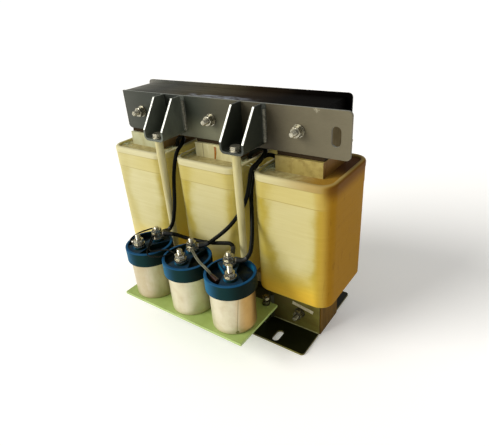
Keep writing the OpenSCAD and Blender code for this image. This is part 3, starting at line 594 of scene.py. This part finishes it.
# Zinc plated steel sheet, lightly varnished: dull grey with a soft, broad highlight
new_finish("zinc_plated_sheet", 0.5, {"Metallic": 0.35})
grain = blotches(1.1, stretch=(0.2, 1, 1))
tone = coats(
    # Painted shadows of the brackets and painted reflections, brightest at the sheet's right end
    shaded_along("top_clamp_front", [
        (0, "40423a"), (0.1, "31352b"), (0.3, "232821"), (0.4, "2b2f22"), (0.5, "43412f"),
        (0.62, "474230"), (0.72, "453e2c"), (0.8, "5e5741"), (1, "6a634d")]),
    # Painted light: lighter towards the bottom of the sheet between the brackets
    ((run(Z, 330, 300), run(X, -75, -40), run(X, 60, 10), 0.6), "75755c"),
    ((blotches(26, stretch=(0.5, 1, 1)), 0.35), "c9c6bb", "MULTIPLY"),
    ((grain, 0.15), "b5b2a5", "MULTIPLY"),
    # A painted highlight on faces that look up, such as the top edge
    ((facing(Z, 0.5, 0.9), 0.7), "8f928a"),
    ((near(CHIP_AT, 5.5, 6, 1.5), 0.7), "9c9680"),
)
surface(tone, grain, 0.05, 0.3, 0.7)

# Varnished steel sheet with bare, ground edges on the slope, which carry a painted highlight
new_finish("varnished_bracket_sheet", 0.4, {"Metallic": 0.25})
both_ways = add("VectorMath", {"operation": "ABSOLUTE"}, {0: add("NewGeometry").outputs["Normal"]})
along_slope = add("VectorMath", {"operation": "DOT_PRODUCT", 1: BRACKET_SLOPE},
                  {0: both_ways.outputs[0]})
cut_edge_and_glint = add("MapRange", {"From Min": 0.955, "From Max": 0.985},
               {"Value": along_slope.outputs["Value"]}).outputs[0]
tone = coats(
    "5e6358",
    (run(X, 0, 60), "2f332b"),
    ((blotches(15, stretch=(1, 1, 0.4)), 0.4), "33382f"),
    (run(Z, 200, 100), "3a3b22"),
    (cut_edge_and_glint, "c9cabf"),
)
surface(tone, blotches(1.0), 0.06, 0.3, 0.5)

# Base angles: steel under olive varnish, nearly black below and brown where resin ran
new_finish("olive_varnished_sheet", 0.4, {"Metallic": 0.2, "Specular IOR Level": 0.2})
upright = facing(Z, 0.6, 0.3)
clouds = blotches(20, stretch=(0.6, 1, 1))
tone = coats(
    "181a08",
    ((upright, 0.9), "2e2f12"),
    # Painted shade: the flange is darker on the left, under the board, and lighter to the right
    ((upright, run(X, 60, 175)), "7a7535"),
    ((clouds, 0.4), "8a8c6a", "MULTIPLY"),
    ((clouds, upright, 0.4), "5d4a1c"),
    # A painted highlight along the fold
    ((facing(Z, 0.2, 0.45), facing(Z, 0.97, 0.85), 0.8), "8b8a5c"),
)
surface(tone, blotches(0.9), 0.06, 0.3, 0.5)
print("steel finishes:", [name for name in finishes if "sheet" in name])

# %% [markdown]
# ## Laminated core
# The yokes are stacks of thin electrical steel sheets, dipped in black varnish that pools
# and shines. The stack runs front to back, so its edges show as fine lines along the yoke.
# Real sheets are half a millimetre thick. The lines here are drawn about twice as coarse,
# or they would be lost at this picture size. The top is greyer at the left, a painted sheen,
# and a pale scuff lies on it. The low yoke is brown with rust and resin.

# %% Make the core finishes
LAMINATION_MM = 1.2
CORE_TOP_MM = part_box("top_yoke")[1].z / MM


def laminations():
    """The fine lines of the sheets' edges."""
    return blotches(LAMINATION_MM, 0.35, 0.65, (0.01, 1, 0.01), 2)


# Laminated steel under baked black varnish: dark, glossy in patches, with fine lines and a
# painted sheen at the left
new_finish("baked_black_varnish", 0.6, {"Specular IOR Level": 0.02})
lines = laminations()
scuffed = where_all(
    run(Z, CORE_TOP_MM - 1, CORE_TOP_MM - 0.5),
    run(X, -52, -35), run(X, 82, 30), run(Y, -33, -29), run(Y, -13, -20),
    blotches(4, 0.42, 0.62, (0.2, 1, 1)), 0.8)
tone = coats(
    # A painted sheen greys the top towards its left end
    shaded_along("top_yoke", [
        (0, "90908a"), (0.06, "72736d"), (0.16, "5b5c58"), (0.42, "5c5644"),
        (0.62, "33291c"), (0.8, "0d0906"), (1, "040201")]),
    ((facing(X, 0.6, 0.95), run(Z, 336, 324)), "75684a"),
    ((lines, 0.7), "857f72", "MULTIPLY"),
    ((blotches(22, stretch=(0.3, 1, 1)), 0.4), "a39c8c", "MULTIPLY"),
    (scuffed, "9aa1ad"),
)
surface(tone, lines, 0.25, 0.5, 0.4)

# The same stack low down, brown with rust and resin runs
new_finish("brown_varnished_core", 0.5, {"Specular IOR Level": 0.03})
lines = laminations()
tone = coats(
    "715319",
    ((blotches(9, 0.4, 0.65, (1, 1, 0.25)), 0.5), "4a3a10"),
    (run(Z, 150, 260), "33281a"),
    ((lines, 0.3), "9a8a68", "MULTIPLY"),
)
surface(tone, lines, 0.25, 0.5, 0.4)
print("core top at", round(CORE_TOP_MM, 1), "mm")

# %% [markdown]
# ## Capacitors
# Each can is extruded aluminium in a clear shrink film that has gone cream. The metal shines
# through it, which a part-metallic surface gives. The sides that turn from the light carry
# painted shade: amber on the right can, a painted reflection of the coil beside it, and greyer
# on the others, darker still towards the back. Pale upright streaks are painted highlights on
# the film, and painted shadows mark its lap and the nick at its foot. The tops are moulded blue
# nylon with dust on them, painted lighter where they face the light and darker where they
# turn away, with painted shade and grime in their corners and darker pockets.

# %% Make the capacitor finishes
CAN_X = (-74.5 * MM, 4 * MM, 82.5 * MM)
CAN_Y = -123.5 * MM
CAN_RADIUS = 32 * MM
RIGHT_CAN = Vector((CAN_X[2], CAN_Y, 0))
LAP_TOP, LAP_FOOT = 123.5 * MM, 63.5 * MM
LAP_TURN = (math.radians(-37), math.radians(-48))
# Where the painted shadow of the film's nick lies
NICK_SHADOW_AT = Vector((104.5, -147.0, 64.5)) * MM
POCKET_TOP_MM, POCKET_FLOOR_MM = 145.4, 144


def lap_line():
    """The shadow along the edge where the film of the right can laps over itself."""
    at_top, at_foot = (
        RIGHT_CAN + Vector((math.cos(turn) * CAN_RADIUS, math.sin(turn) * CAN_RADIUS, z))
        for turn, z in zip(LAP_TURN, (LAP_TOP, LAP_FOOT)))
    outward = at_top - RIGHT_CAN
    outward.z = 0
    square = outward.cross(at_foot - at_top).normalized()
    away = add("VectorMath", {"operation": "DOT_PRODUCT", 1: square}, {0: place()})
    level = square.dot(at_top)
    sides = [add("MapRange", {
        "From Min": level + way * 0.9 * MM, "From Max": level + way * 0.3 * MM},
        {"Value": away.outputs["Value"]}).outputs[0] for way in (-1, 1)]
    return where_all(*sides, run(X, 84, 88), run(Y, -124, -128))


# Aluminium under clear film gone cream: a soft metallic sheen with faint drawn streaks
new_finish("film_on_aluminium", 0.38, {"Metallic": 0.5, "Specular IOR Level": 0.3})
smears = blotches(14, 0.45, 0.7)
tone = coats(
    "c0b494",
    ((blotches(0.9, 0.3, 0.7, (1, 1, 0.05)), 0.18), "d8ccb2", "MULTIPLY"),
    ((run(X, -45, -10), 0.6), "dcd7ba"),
    ((smears, 0.35), "b39f74"),
    # Painted highlights: pale upright streaks where the film crumples
    ((blotches(20, 0.5, 0.7, (1, 1, 0.35)), 0.5), "dad2bc"),
    # Painted shade on the sides that face right, greyer on the first two cans and amber on the right
    # can as a painted reflection of the coil, and darker towards the back
    ((facing(X, 0.35, 0.95), run(X, 75, 60), 0.8), "d3e3cb", "MULTIPLY"),
    ((facing(X, 0.55, 1), run(X, 60, 75), 0.9), "dfb35c", "MULTIPLY"),
    ((facing(X, 0.6, 0.9), facing(Y, -0.1, 0.4), 0.7), "7a6a3e", "MULTIPLY"),
    ((lap_line(), 0.6), "7d6d49"),
    # A painted shadow at the nick in the film's foot
    (near(NICK_SHADOW_AT, 4.2, 2.5, 2), "58602f"),
    ((run(Z, 72, 60), 0.5), "b7a677"),
)
surface(tone, smears, 0.3, 0.25)

# Injection moulded nylon: satin blue that dust and painted shade turn teal, with a fine grain
new_finish("blue_moulded_nylon", 0.5, {"IOR": 1.53, "Specular IOR Level": 0.05})
dust = blotches(12, 0.42, 0.65)
up = facing(Z, 0.6, 0.95)
round_the_side = facing(Z, 0.5, 0.2)
in_pocket = run(Z, POCKET_TOP_MM, POCKET_FLOOR_MM)
tone = coats(
    "16486c",
    ((up, 0.4), "0f4064"),
    # Painted light and shade round the skirt: brighter blue where it faces left, dark teal and near
    # black as it turns right
    ((round_the_side, facing(X, 0.2, -0.75)), "145b78"),
    ((round_the_side, facing(X, -0.55, 0.3), 0.95), "0b2a26"),
    ((facing(X, 0.45, 0.95), 0.9), "06140c"),
    ((up, dust, 0.3), "35566a"),
    # Painted shade and grime in corners
    ((corner_shade_and_grime(9), 0.6), "0d1410"),
    ((in_pocket, up, 0.85), "12160f"),
    ((in_pocket, up, dust, 0.6), "34351c"),
)
surface(tone, blotches(0.7), 0.04, 0.3, 0.4)
print("pockets from", POCKET_FLOOR_MM, "to", POCKET_TOP_MM, "mm")

# %% [markdown]
# ## Board, tubes and small parts
# Many small pieces share one recipe: a base colour that drifts into a second one in soft
# blotches, a roughness, and a fine grain. What differs is the real size of the blotches and
# the grain, and how metallic the surface is, so one function makes them all. The fasteners
# have one more of their own, with painted shade and grime in their corners.

# %% Make the mottled finishes
def mottled(name, main, other, spread_mm, grain_mm, depth_mm, rough, settings=None, stretch=(1, 1, 1),
            edge_mm=0):
    """A finish of two shades in blotches of spread_mm, with a surface grain of grain_mm."""
    new_finish(name, rough, settings)
    tone = coats(main, (blotches(spread_mm, 0.35, 0.68, stretch), other))
    surface(tone, blotches(grain_mm, 0.3, 0.7, stretch), depth_mm, 0.5, edge_mm)


# Zinc plated steel: bright, with painted shade and grime where washers and threads meet,
# dulled by resin low down
new_finish("zinc_plated_fastener", 0.26, {"Metallic": 0.85})
tone = coats(
    "c8c4b2",
    (blotches(2.2, 0.35, 0.68), "857f69"),
    ((run(Z, 130, 85), 0.75), "5f5b3a"),
    (corner_shade_and_grime(3), "1f1c12"),
)
surface(tone, blotches(0.4, 0.3, 0.7), 0.04, 0.5, 0.1)
# Glass cloth bonded with epoxy: a pale green that light sinks into, with a satin face
mottled("glass_epoxy", "9cb166", "8ea255", 30, 0.8, 0.05, 0.38, {"IOR": 1.55}, edge_mm=0.3)
# Pressed board soaked in resin: matt and brown
mottled("pressed_laminate", "9c8548", "7a6430", 14, 0.8, 0.1, 0.6)
# Wound glass fibre tube: cream, smooth and slightly shiny
mottled("glass_fibre_tube", "bfb789", "a69b64", 18, 0.7, 0.05, 0.4, {"Specular IOR Level": 0.25},
        (1, 1, 0.2))
# Tin on copper: softer and whiter than zinc
mottled("tinned_copper", "b3aea0", "8d877a", 4, 0.4, 0.03, 0.38, {"Metallic": 0.9}, edge_mm=0.2)
# Cement glaze on the small resistor: shiny and dark
mottled("brown_glaze", "33190d", "1e1109", 3, 0.5, 0.02, 0.25)
# Varnish run on the sleeve: see-through brown in the real one, here a glossy brown
mottled("brown_varnish_run", "96601c", "7a4714", 3, 0.6, 0.02, 0.22)
# Weld metal: grey with a scaly skin
mottled("weld_metal", "8c8a7c", "5e5c50", 3, 0.5, 0.2, 0.5, {"Metallic": 0.6})
# Loose glass strands: white with a green cast where the resin wetted them
mottled("glass_strand", "b5bd98", "8d8f5c", 8, 0.5, 0.02, 0.4)
# Heat-shrink tube: black polyolefin, a little shinier than the lead
mottled("heat_shrink", "0d0e0c", "1a1b17", 5, 0.6, 0.05, 0.34)
# Paper strip on the low flange, left bare
mottled("bare_paper", "c9c2a2", "a89f78", 5, 0.6, 0.03, 0.6)
print("finishes:", len(finishes))

# %% [markdown]
# ## Which node gets which finish
# A solid whose shape is right stays as it is and only takes a finish.

# %% Dress the CAD nodes
LCR = ("left", "centre", "right")
FINISH_OF = {
    "baked_black_varnish": ["top_yoke", "top_clamp_rear"],
    "brown_varnished_core": ["bottom_yoke", *(f"limb_{k}" for k in LCR)],
    "varnished_glass_sleeve": [f"sleeve_{k}" for k in LCR],
    "resin_glass_cloth": [f"coil_{k}" for k in LCR],
    "polyester_glass_tape": [f"tape_{k}" for k in LCR],
    "pressed_laminate": ["coil_pads"],
    "glass_epoxy": ["capacitor_board", "gap_spacers", "yoke_bolt_tubes"],
    "zinc_plated_sheet": ["top_clamp_front", "board_rail"],
    "olive_varnished_sheet": ["base_angle_front", "base_angle_rear"],
    "varnished_bracket_sheet": [f"bracket_{level}_{side}_{k}" for level in ("top", "base")
                                for side in ("front", "rear") for k in ("left", "right")],
    "zinc_plated_fastener": ["tie_rods", "rod_nuts", "rod_washers", "yoke_bolts", "yoke_nuts",
                             "yoke_washers", "board_fixings", "can_fixings", "terminal_studs",
                             "terminal_nuts", "terminal_washers"],
    "film_on_aluminium": [f"capacitor_can_{k}" for k in LCR],
    "blue_moulded_nylon": [f"capacitor_top_{k}" for k in LCR],
    "tinned_copper": ["terminal_lugs", "power_terminals"],
    "brown_glaze": ["bleed_resistor"],
}
for finish, names in FINISH_OF.items():
    for name in names:
        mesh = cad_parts[name].data
        mesh.materials.clear()
        mesh.materials.append(finishes[finish])
ROD_TUBES = {"rod_tubes_front", "rod_tubes_rear"}
dressed = {name for names in FINISH_OF.values() for name in names} | set(ROUTES) | ROD_TUBES
print("nodes without a finish:", sorted(set(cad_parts) - dressed))

# %% [markdown]
# ## Rings and skins
# The small pieces are all made one way: rings of points are laid along a line and joined
# into a closed skin. A screw thread, a shrunk boot, a weld bead and a glass strand differ
# only in how wide each ring is. Blender's own curve bevel could do the plain tubes, but not
# the thread or the ripples, so the rings are written out.

# %% Helpers for added pieces
# Any direction will do to turn a ring from, if no line of the object runs along it
RING_START = Vector((0.3, 0.2, 0.93))


def ring(centre, along, radii, start=RING_START):
    """Points round a centre, square to a direction, at one radius each."""
    side = start.cross(along).normalized()
    other = along.cross(side).normalized()
    turn = math.tau / len(radii)
    return [centre + radius * (math.cos(k * turn) * side + math.sin(k * turn) * other)
            for k, radius in enumerate(radii)]


def rings_along(line, radii, sides):
    """One ring at each point of a bent line, square to the line there."""
    last = len(line) - 1
    return [ring(at, (line[min(k + 1, last)] - line[max(k - 1, 0)]).normalized(), [radius] * sides)
            for k, (at, radius) in enumerate(zip(line, radii))]


def join_rings(shape, rings):
    """Adds a closed skin over the rings to a shape, which is its points and its faces."""
    points, faces = shape
    first, count = len(points), len(rings[0])
    for circle in rings:
        points.extend(circle)
    last = first + (len(rings) - 1) * count
    for low in range(first, last, count):
        for k in range(count):
            after = (k + 1) % count
            faces.append((low + k, low + after, low + count + after, low + count + k))
    faces.extend(tuple(range(end, end + count)) for end in (first, last))


def piece(name, shape, finish, replaced=(), sharp_degrees=40):
    """Makes a shape into an object that rides with the choke."""
    mesh = bpy.data.meshes.new(name)
    mesh.from_pydata([tuple(p) for p in shape[0]], [], shape[1])
    work = bmesh.new()
    work.from_mesh(mesh)
    bmesh.ops.recalc_face_normals(work, faces=work.faces)
    work.to_mesh(mesh)
    work.free()
    mesh.shade_smooth()
    mesh.set_sharp_from_angle(angle=math.radians(sharp_degrees))
    mesh.materials.append(finishes[finish])
    made = bpy.data.objects.new(name, mesh)
    scene.collection.objects.link(made)
    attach(made, "root")
    if replaced:
        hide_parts(*replaced)
    print(f"{name}: {len(mesh.polygons)} faces")


print("rings start from", tuple(round(v, 2) for v in RING_START))

# %% [markdown]
# ## Screw threads
# The yoke bolts and the capacitor studs are M8 with a rolled thread, and their ends stand
# out of the nuts. A texture could fake the lines, but their outline would stay smooth, so
# the thread is a true helix: each ring is turned a little against the last one, and its
# radius follows the 1.25 mm pitch.

# %% Cut the threads
THREAD_RADIUS = 4 * MM
THREAD_PITCH = 1.25 * MM
THREAD_DEPTH = 0.62 * MM
THREAD_SIDES = 18
RINGS_PER_TURN = 6
CHAMFER, CHAMFER_SLOPE = 1.1 * MM, 0.8
# Off the bolts' and the studs' own directions
THREAD_START = Vector((0.37, 0.61, 0.7))


def thread_rings(foot, along, length):
    """Rings of a helical thread from the foot to a chamfered tip."""
    levels = max(2, round(length / THREAD_PITCH * RINGS_PER_TURN))
    rings = []
    for level in range(levels + 1):
        reached = length * level / levels
        limit = THREAD_RADIUS - max(0, CHAMFER - (length - reached)) * CHAMFER_SLOPE
        radii = []
        for k in range(THREAD_SIDES):
            turn = (reached / THREAD_PITCH - k / THREAD_SIDES) % 1
            groove = THREAD_DEPTH * (1 - abs(2 * turn - 1))
            radii.append(min(limit, THREAD_RADIUS - groove))
        rings.append(ring(foot + along * reached, along, radii, THREAD_START))
    return rings


def threaded_ends(name, ends, replaced):
    """One piece of threaded rods. Each end is a foot, a direction and a length."""
    shape = ([], [])
    for foot, along, length in ends:
        join_rings(shape, thread_rings(foot, along, length))
    piece(name, shape, "zinc_plated_fastener", [replaced], 50)


YOKE_BOLT_X = (-LIMB_PITCH, 0, LIMB_PITCH)
YOKE_BOLT_Z = (32 * MM, 322 * MM)
BOLT_TIP_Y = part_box("yoke_bolts")[1].y
threaded_ends("threaded_yoke_bolts", [
    (Vector((x, 0, z)), Vector((0, way, 0)), BOLT_TIP_Y)
    for x in YOKE_BOLT_X for z in YOKE_BOLT_Z for way in (-1, 1)], "yoke_bolts")

# %% Thread the capacitor studs
STUD_OUT = 16 * MM
STUD_TURN = (math.radians(74), math.radians(101), math.radians(129))
STUD_FOOT_Z, STUD_TIP_Z = (corner.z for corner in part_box("terminal_studs"))


def terminal(can, way):
    """The foot of a capacitor's front stud, where way is -1, or its rear one, where it is 1."""
    return Vector((CAN_X[can] + way * STUD_OUT * math.cos(STUD_TURN[can]),
                   CAN_Y + way * STUD_OUT * math.sin(STUD_TURN[can]), STUD_FOOT_Z))


threaded_ends("threaded_terminal_studs", [
    (terminal(can, way), UPWARD, STUD_TIP_Z - STUD_FOOT_Z)
    for can in range(len(CAN_X)) for way in (-1, 1)], "terminal_studs")

# %% [markdown]
# ## Tapered tubes on the tie rods
# The tie rods wear cream insulating tubes. In the photograph each one is as wide as its box
# under the bracket and thins towards the foot, because the tube is wrapped by hand and
# shrinks in the oven. A stack of rings gives the taper and the slight waves of the wrap.

# %% Wrap the tubes
TUBE_FOOT_SHARE = 0.68
TUBE_RINGS, TUBE_SIDES = 60, 24
# The full width is reached a little below the bracket, and the taper is steepest at the foot
TAPER_REACH, TAPER_POWER = 1.12, 0.8
WAVE_MEAN, WAVE_DEPTH, WAVE_TURN = 0.995, 0.008, 19
for node in sorted(ROD_TUBES):
    low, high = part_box(node)
    radius = (high.y - low.y) / 2
    tubes = ([], [])
    for x in (low.x + radius, high.x - radius):
        rings = []
        for k in range(TUBE_RINGS + 1):
            share = k / TUBE_RINGS
            width = TUBE_FOOT_SHARE + (1 - TUBE_FOOT_SHARE) * min(1, share * TAPER_REACH) ** TAPER_POWER
            width *= WAVE_MEAN - WAVE_DEPTH * abs(math.sin(WAVE_TURN * share))
            at = Vector((x, (high.y + low.y) / 2, low.z + (high.z - low.z) * share))
            rings.append(ring(at, UPWARD, [radius * width] * TUBE_SIDES))
        join_rings(tubes, rings)
    piece(f"wrapped_{node}", tubes, "glass_fibre_tube", [node])

# %% [markdown]
# ## Boots on the cable lugs
# Where a thick lead enters its ring lug, a piece of heat-shrink tube covers the crimp. It is
# fat over the barrel, narrows down to the lead, and shows the ripples of uneven shrinking.
# It starts along the lug's barrel and then follows the lead's own curve.

# %% Shrink the boots
BOOT_SIDES = 16
BARREL_START, BARREL_END, BARREL_RINGS = 10.5 * MM, 17 * MM, 6
BOOT_ON_LEAD = 9 * MM
BOOT_FAT, BOOT_THIN = 4.1 * MM, 3.45 * MM
# It begins to narrow at a ring that is still on the barrel, and takes four rings
NARROW_FROM, NARROW_OVER = 4, 4
BOOT_RIPPLE, BOOT_RIPPLE_TURN = 0.12 * MM, 2.1
# Which capacitor, the direction of its lug in degrees, and the lead with the end that enters
BOOTS = [
    (0, 74, "phase_lead_left", 0), (0, 29, "bridge_lead", 0), (1, 37, "phase_lead_centre", 0),
    (2, 27, "phase_lead_right", 0), (2, 110, "bridge_lead", -1),
]
boots = ([], [])
for can, bearing, name, end in BOOTS:
    route = smooth_route(ROUTES[name][2])
    if end:
        route.reverse()
    out = Vector((math.cos(math.radians(bearing)), math.sin(math.radians(bearing)), 0))
    stud = terminal(can, 1)
    stud.z = route[0].z
    line = [stud + out * (BARREL_START + (BARREL_END - BARREL_START) * k / BARREL_RINGS)
            for k in range(BARREL_RINGS)]
    covered = 0
    for before, at in zip(route, route[1:]):
        line.append(before)
        covered += (at - before).length
        if covered > BOOT_ON_LEAD:
            break
    radii = [BOOT_FAT + (BOOT_THIN - BOOT_FAT) * min(1, max(0, (k - NARROW_FROM) / NARROW_OVER))
             + BOOT_RIPPLE * math.sin(BOOT_RIPPLE_TURN * k) for k in range(len(line))]
    join_rings(boots, rings_along(line, radii, BOOT_SIDES))
piece("heat_shrink_boots", boots, "heat_shrink")

# %% [markdown]
# ## Weld beads
# Each bracket is welded to its sheet down both flanks. A hand-laid bead is a row of
# overlapping crescents, so a tube that swells every couple of millimetres, sunk into the
# corner, shows the ripple in its outline too.

# %% Lay the beads
BEAD_SIDES = 12
BEAD_RIPPLE, BEAD_SWELL = 2.3 * MM, 0.45 * MM
BEAD_STEP = 0.45 * MM
BEAD_CENTRE = 1.3 * MM
BEAD_RADIUS = 2.3 * MM
BEAD_FROM_END = 6 * MM
# The weld legs widen the bracket's box by this much, and the bead lies over them
WELD_LEG = 4 * MM
WANDER, WANDER_LENGTH = 0.25 * MM, 7 * MM
beads = ([], [])
for side, outward in (("front", -1), ("rear", 1)):
    for k in ("left", "right"):
        low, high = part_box(f"bracket_top_{side}_{k}")
        sheet_y = high.y if side == "front" else low.y
        levels = int((high.z - low.z - 2 * BEAD_FROM_END) / BEAD_STEP)
        for edge, flank in ((-1, low.x), (1, high.x)):
            rings = []
            for level in range(levels + 1):
                z = low.z + BEAD_FROM_END + level * BEAD_STEP
                swell = abs(math.sin(math.pi * z / BEAD_RIPPLE)) * BEAD_SWELL
                wander = WANDER * math.sin(z / WANDER_LENGTH + edge)
                centre = Vector((flank - edge * (WELD_LEG - BEAD_CENTRE) + wander,
                                 sheet_y + outward * BEAD_CENTRE, z))
                rings.append(ring(centre, UPWARD, [BEAD_RADIUS + swell] * BEAD_SIDES, INWARD))
            join_rings(beads, rings)
piece("bracket_weld_beads", beads, "weld_metal")

# %% [markdown]
# ## Loose glass strands
# At the coil ends the glass cloth is cut by hand, and stiff whitish strands stick out of the
# resin between the coils, round the place where the leads dive in. Each strand is a thin
# bent tube that starts on the coil's end. They are drawn with a fixed random seed, so every
# run gives the same tangle, and a little thicker than real so that they show.

# %% Scatter the strands
random.seed(11)
STRAND_RADIUS, STRAND_SIDES = 0.32 * MM, 5
STRAND_STEP = 1.7 * MM
STRANDS_PER_PATCH = 46
STRAND_FOOT_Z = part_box("coil_centre")[1].z - 0.5 * MM
PATCH_HALF_MM, PATCH_Y_MM = 9, (-46, -8)
POINTS_PER_STRAND, MOST_BEND = (5, 9), 0.5
RISE_MM, ARCH = (0.2, 1.1), 2.2
# Middle of each patch in millimetres: its limb, and how far it lies from that limb's middle
PATCHES = [(-140, 47), (-140, -42), (0, 47), (0, -48), (140, -48)]
strands = ([], [])
for limb_x, offset in PATCHES:
    for _ in range(STRANDS_PER_PATCH):
        at = Vector(((limb_x + offset + random.uniform(-PATCH_HALF_MM, PATCH_HALF_MM)) * MM,
                     random.uniform(*PATCH_Y_MM) * MM, STRAND_FOOT_Z))
        heading = random.uniform(0, math.tau)
        bend = random.uniform(-MOST_BEND, MOST_BEND)
        steps = random.randint(*POINTS_PER_STRAND)
        rise = random.uniform(*RISE_MM) * MM
        line = []
        for k in range(steps):
            line.append(at + UPWARD * (rise * math.sin(math.pi * k / (steps - 1)) * ARCH))
            heading += bend
            at = at + Vector((math.cos(heading), math.sin(heading), 0)) * STRAND_STEP
        join_rings(strands, rings_along(line, [STRAND_RADIUS] * steps, STRAND_SIDES))
piece("loose_glass_strands", strands, "glass_strand")

# %% [markdown]
# ## Varnish run, bare strip and film lap
# Three thin things lie on flat faces: the run of brown varnish on the middle sleeve, a pale
# paper strip on the low flange that is left bare, and the lap of the film round the right
# capacitor. Each is a stack of thin rings, whose points run out along its front and come
# back along its rear, so the same skin closes it.

# %% Lay the varnish run
RUN_TOP_MM, RUN_LENGTH_MM = 283, 22.5
# How the run's middle leans and sways, and how its half width shrinks to the drop, all in mm
LEAN_FROM, LEAN, SWAY, SWAYS = 3.1, 1.7, 0.5, 5
HALF_FROM, HALF_LOSS, DROP_HALF, DROP_AT, DROP_REACH = 2.5, 1.3, 0.55, 0.93, 0.06
END_WIDTH = 0.4
RUN_THICK, RUN_START_SHARE = 0.55 * MM, 0.12
RUN_PROUD, RUN_SUNK = 0.03 * MM, 0.3 * MM


def thin_piece(pair_at, rows, columns):
    """A thin closed shape. At two shares, down and along it, pair_at gives its front and rear."""
    shape, rings = ([], []), []
    for r in range(rows):
        pairs = [pair_at(r / (rows - 1), c / (columns - 1)) for c in range(columns)]
        rings.append([front for front, _ in pairs] + [rear for _, rear in reversed(pairs)])
    join_rings(shape, rings)
    return shape


def varnish_run(down, along):
    """A run that starts wide, thins as it goes down and ends in a drop."""
    across = 2 * along - 1
    drop = DROP_HALF * math.exp(-((down - DROP_AT) / DROP_REACH) ** 2)
    half = (HALF_FROM - HALF_LOSS * down + drop) * (END_WIDTH if down in (0, 1) else 1)
    x = LEAN_FROM - LEAN * down + SWAY * math.sin(SWAYS * down) + across * half
    at = Vector((x * MM, SLEEVE_FRONT_Y, (RUN_TOP_MM - RUN_LENGTH_MM * down) * MM))
    swell = math.sin(math.pi * min(1, RUN_START_SHARE + down)) * math.sqrt(1 - across * across)
    return at - INWARD * (RUN_PROUD + RUN_THICK * swell), at + INWARD * RUN_SUNK


piece("varnish_run", thin_piece(varnish_run, rows=24, columns=9), "brown_varnish_run",
      sharp_degrees=70)

# %% Lay the bare strip
STRIP_FRONT_Y, STRIP_THICK = -33.16 * MM, 0.14 * MM
STRIP_LEFT, STRIP_RIGHT = Vector((127.4, 0, 49.3)) * MM, Vector((163.2, 0, 43.1)) * MM
STRIP_DROP = Vector((-1.2, 0, -5.6)) * MM
CURL, CURL_ALONG, CURL_DOWN = 0.7 * MM, 0.8, 0.3


def bare_strip(down, along):
    """A paper strip, with one corner lifting."""
    at = STRIP_LEFT.lerp(STRIP_RIGHT, along) + STRIP_DROP * down
    curl = CURL * max(0, along - CURL_ALONG) / (1 - CURL_ALONG) * max(0, down - CURL_DOWN)
    at.y = STRIP_FRONT_Y - curl
    return at, at + INWARD * STRIP_THICK


piece("bare_paper_strip", thin_piece(bare_strip, rows=5, columns=16), "bare_paper")

# %% Lay the lap of the film
LAP_SPAN, NICK_SPAN = math.radians(150), math.radians(5)
NICK_SHARE, NICK_HALF, NICK_ALONG = 0.94, 0.03, 6 / 39
FILM_OUT, FILM_EDGE_OUT, FILM_IN = 0.35 * MM, 0.1 * MM, 0.05 * MM
can_low, can_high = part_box("capacitor_can_right")
FRAME_CAN_RADIUS = (can_high.x - can_low.x) / 2


def film_lap(down, along):
    """The outer turn of film on the right can, with a nick at its foot."""
    nick = NICK_SPAN * math.exp(-((down - NICK_SHARE) / NICK_HALF) ** 2)
    turn = LAP_TURN[0] + (LAP_TURN[1] - LAP_TURN[0]) * down + LAP_SPAN * along
    turn += nick * max(0, 1 - along / NICK_ALONG)
    out = Vector((math.cos(turn), math.sin(turn), 0))
    at = RIGHT_CAN + UPWARD * (LAP_TOP + (LAP_FOOT - LAP_TOP) * down) + out * FRAME_CAN_RADIUS
    return at + out * (FILM_OUT if along else FILM_EDGE_OUT), at - out * FILM_IN


piece("film_lap", thin_piece(film_lap, rows=22, columns=40), "film_on_aluminium",
      sharp_degrees=60)
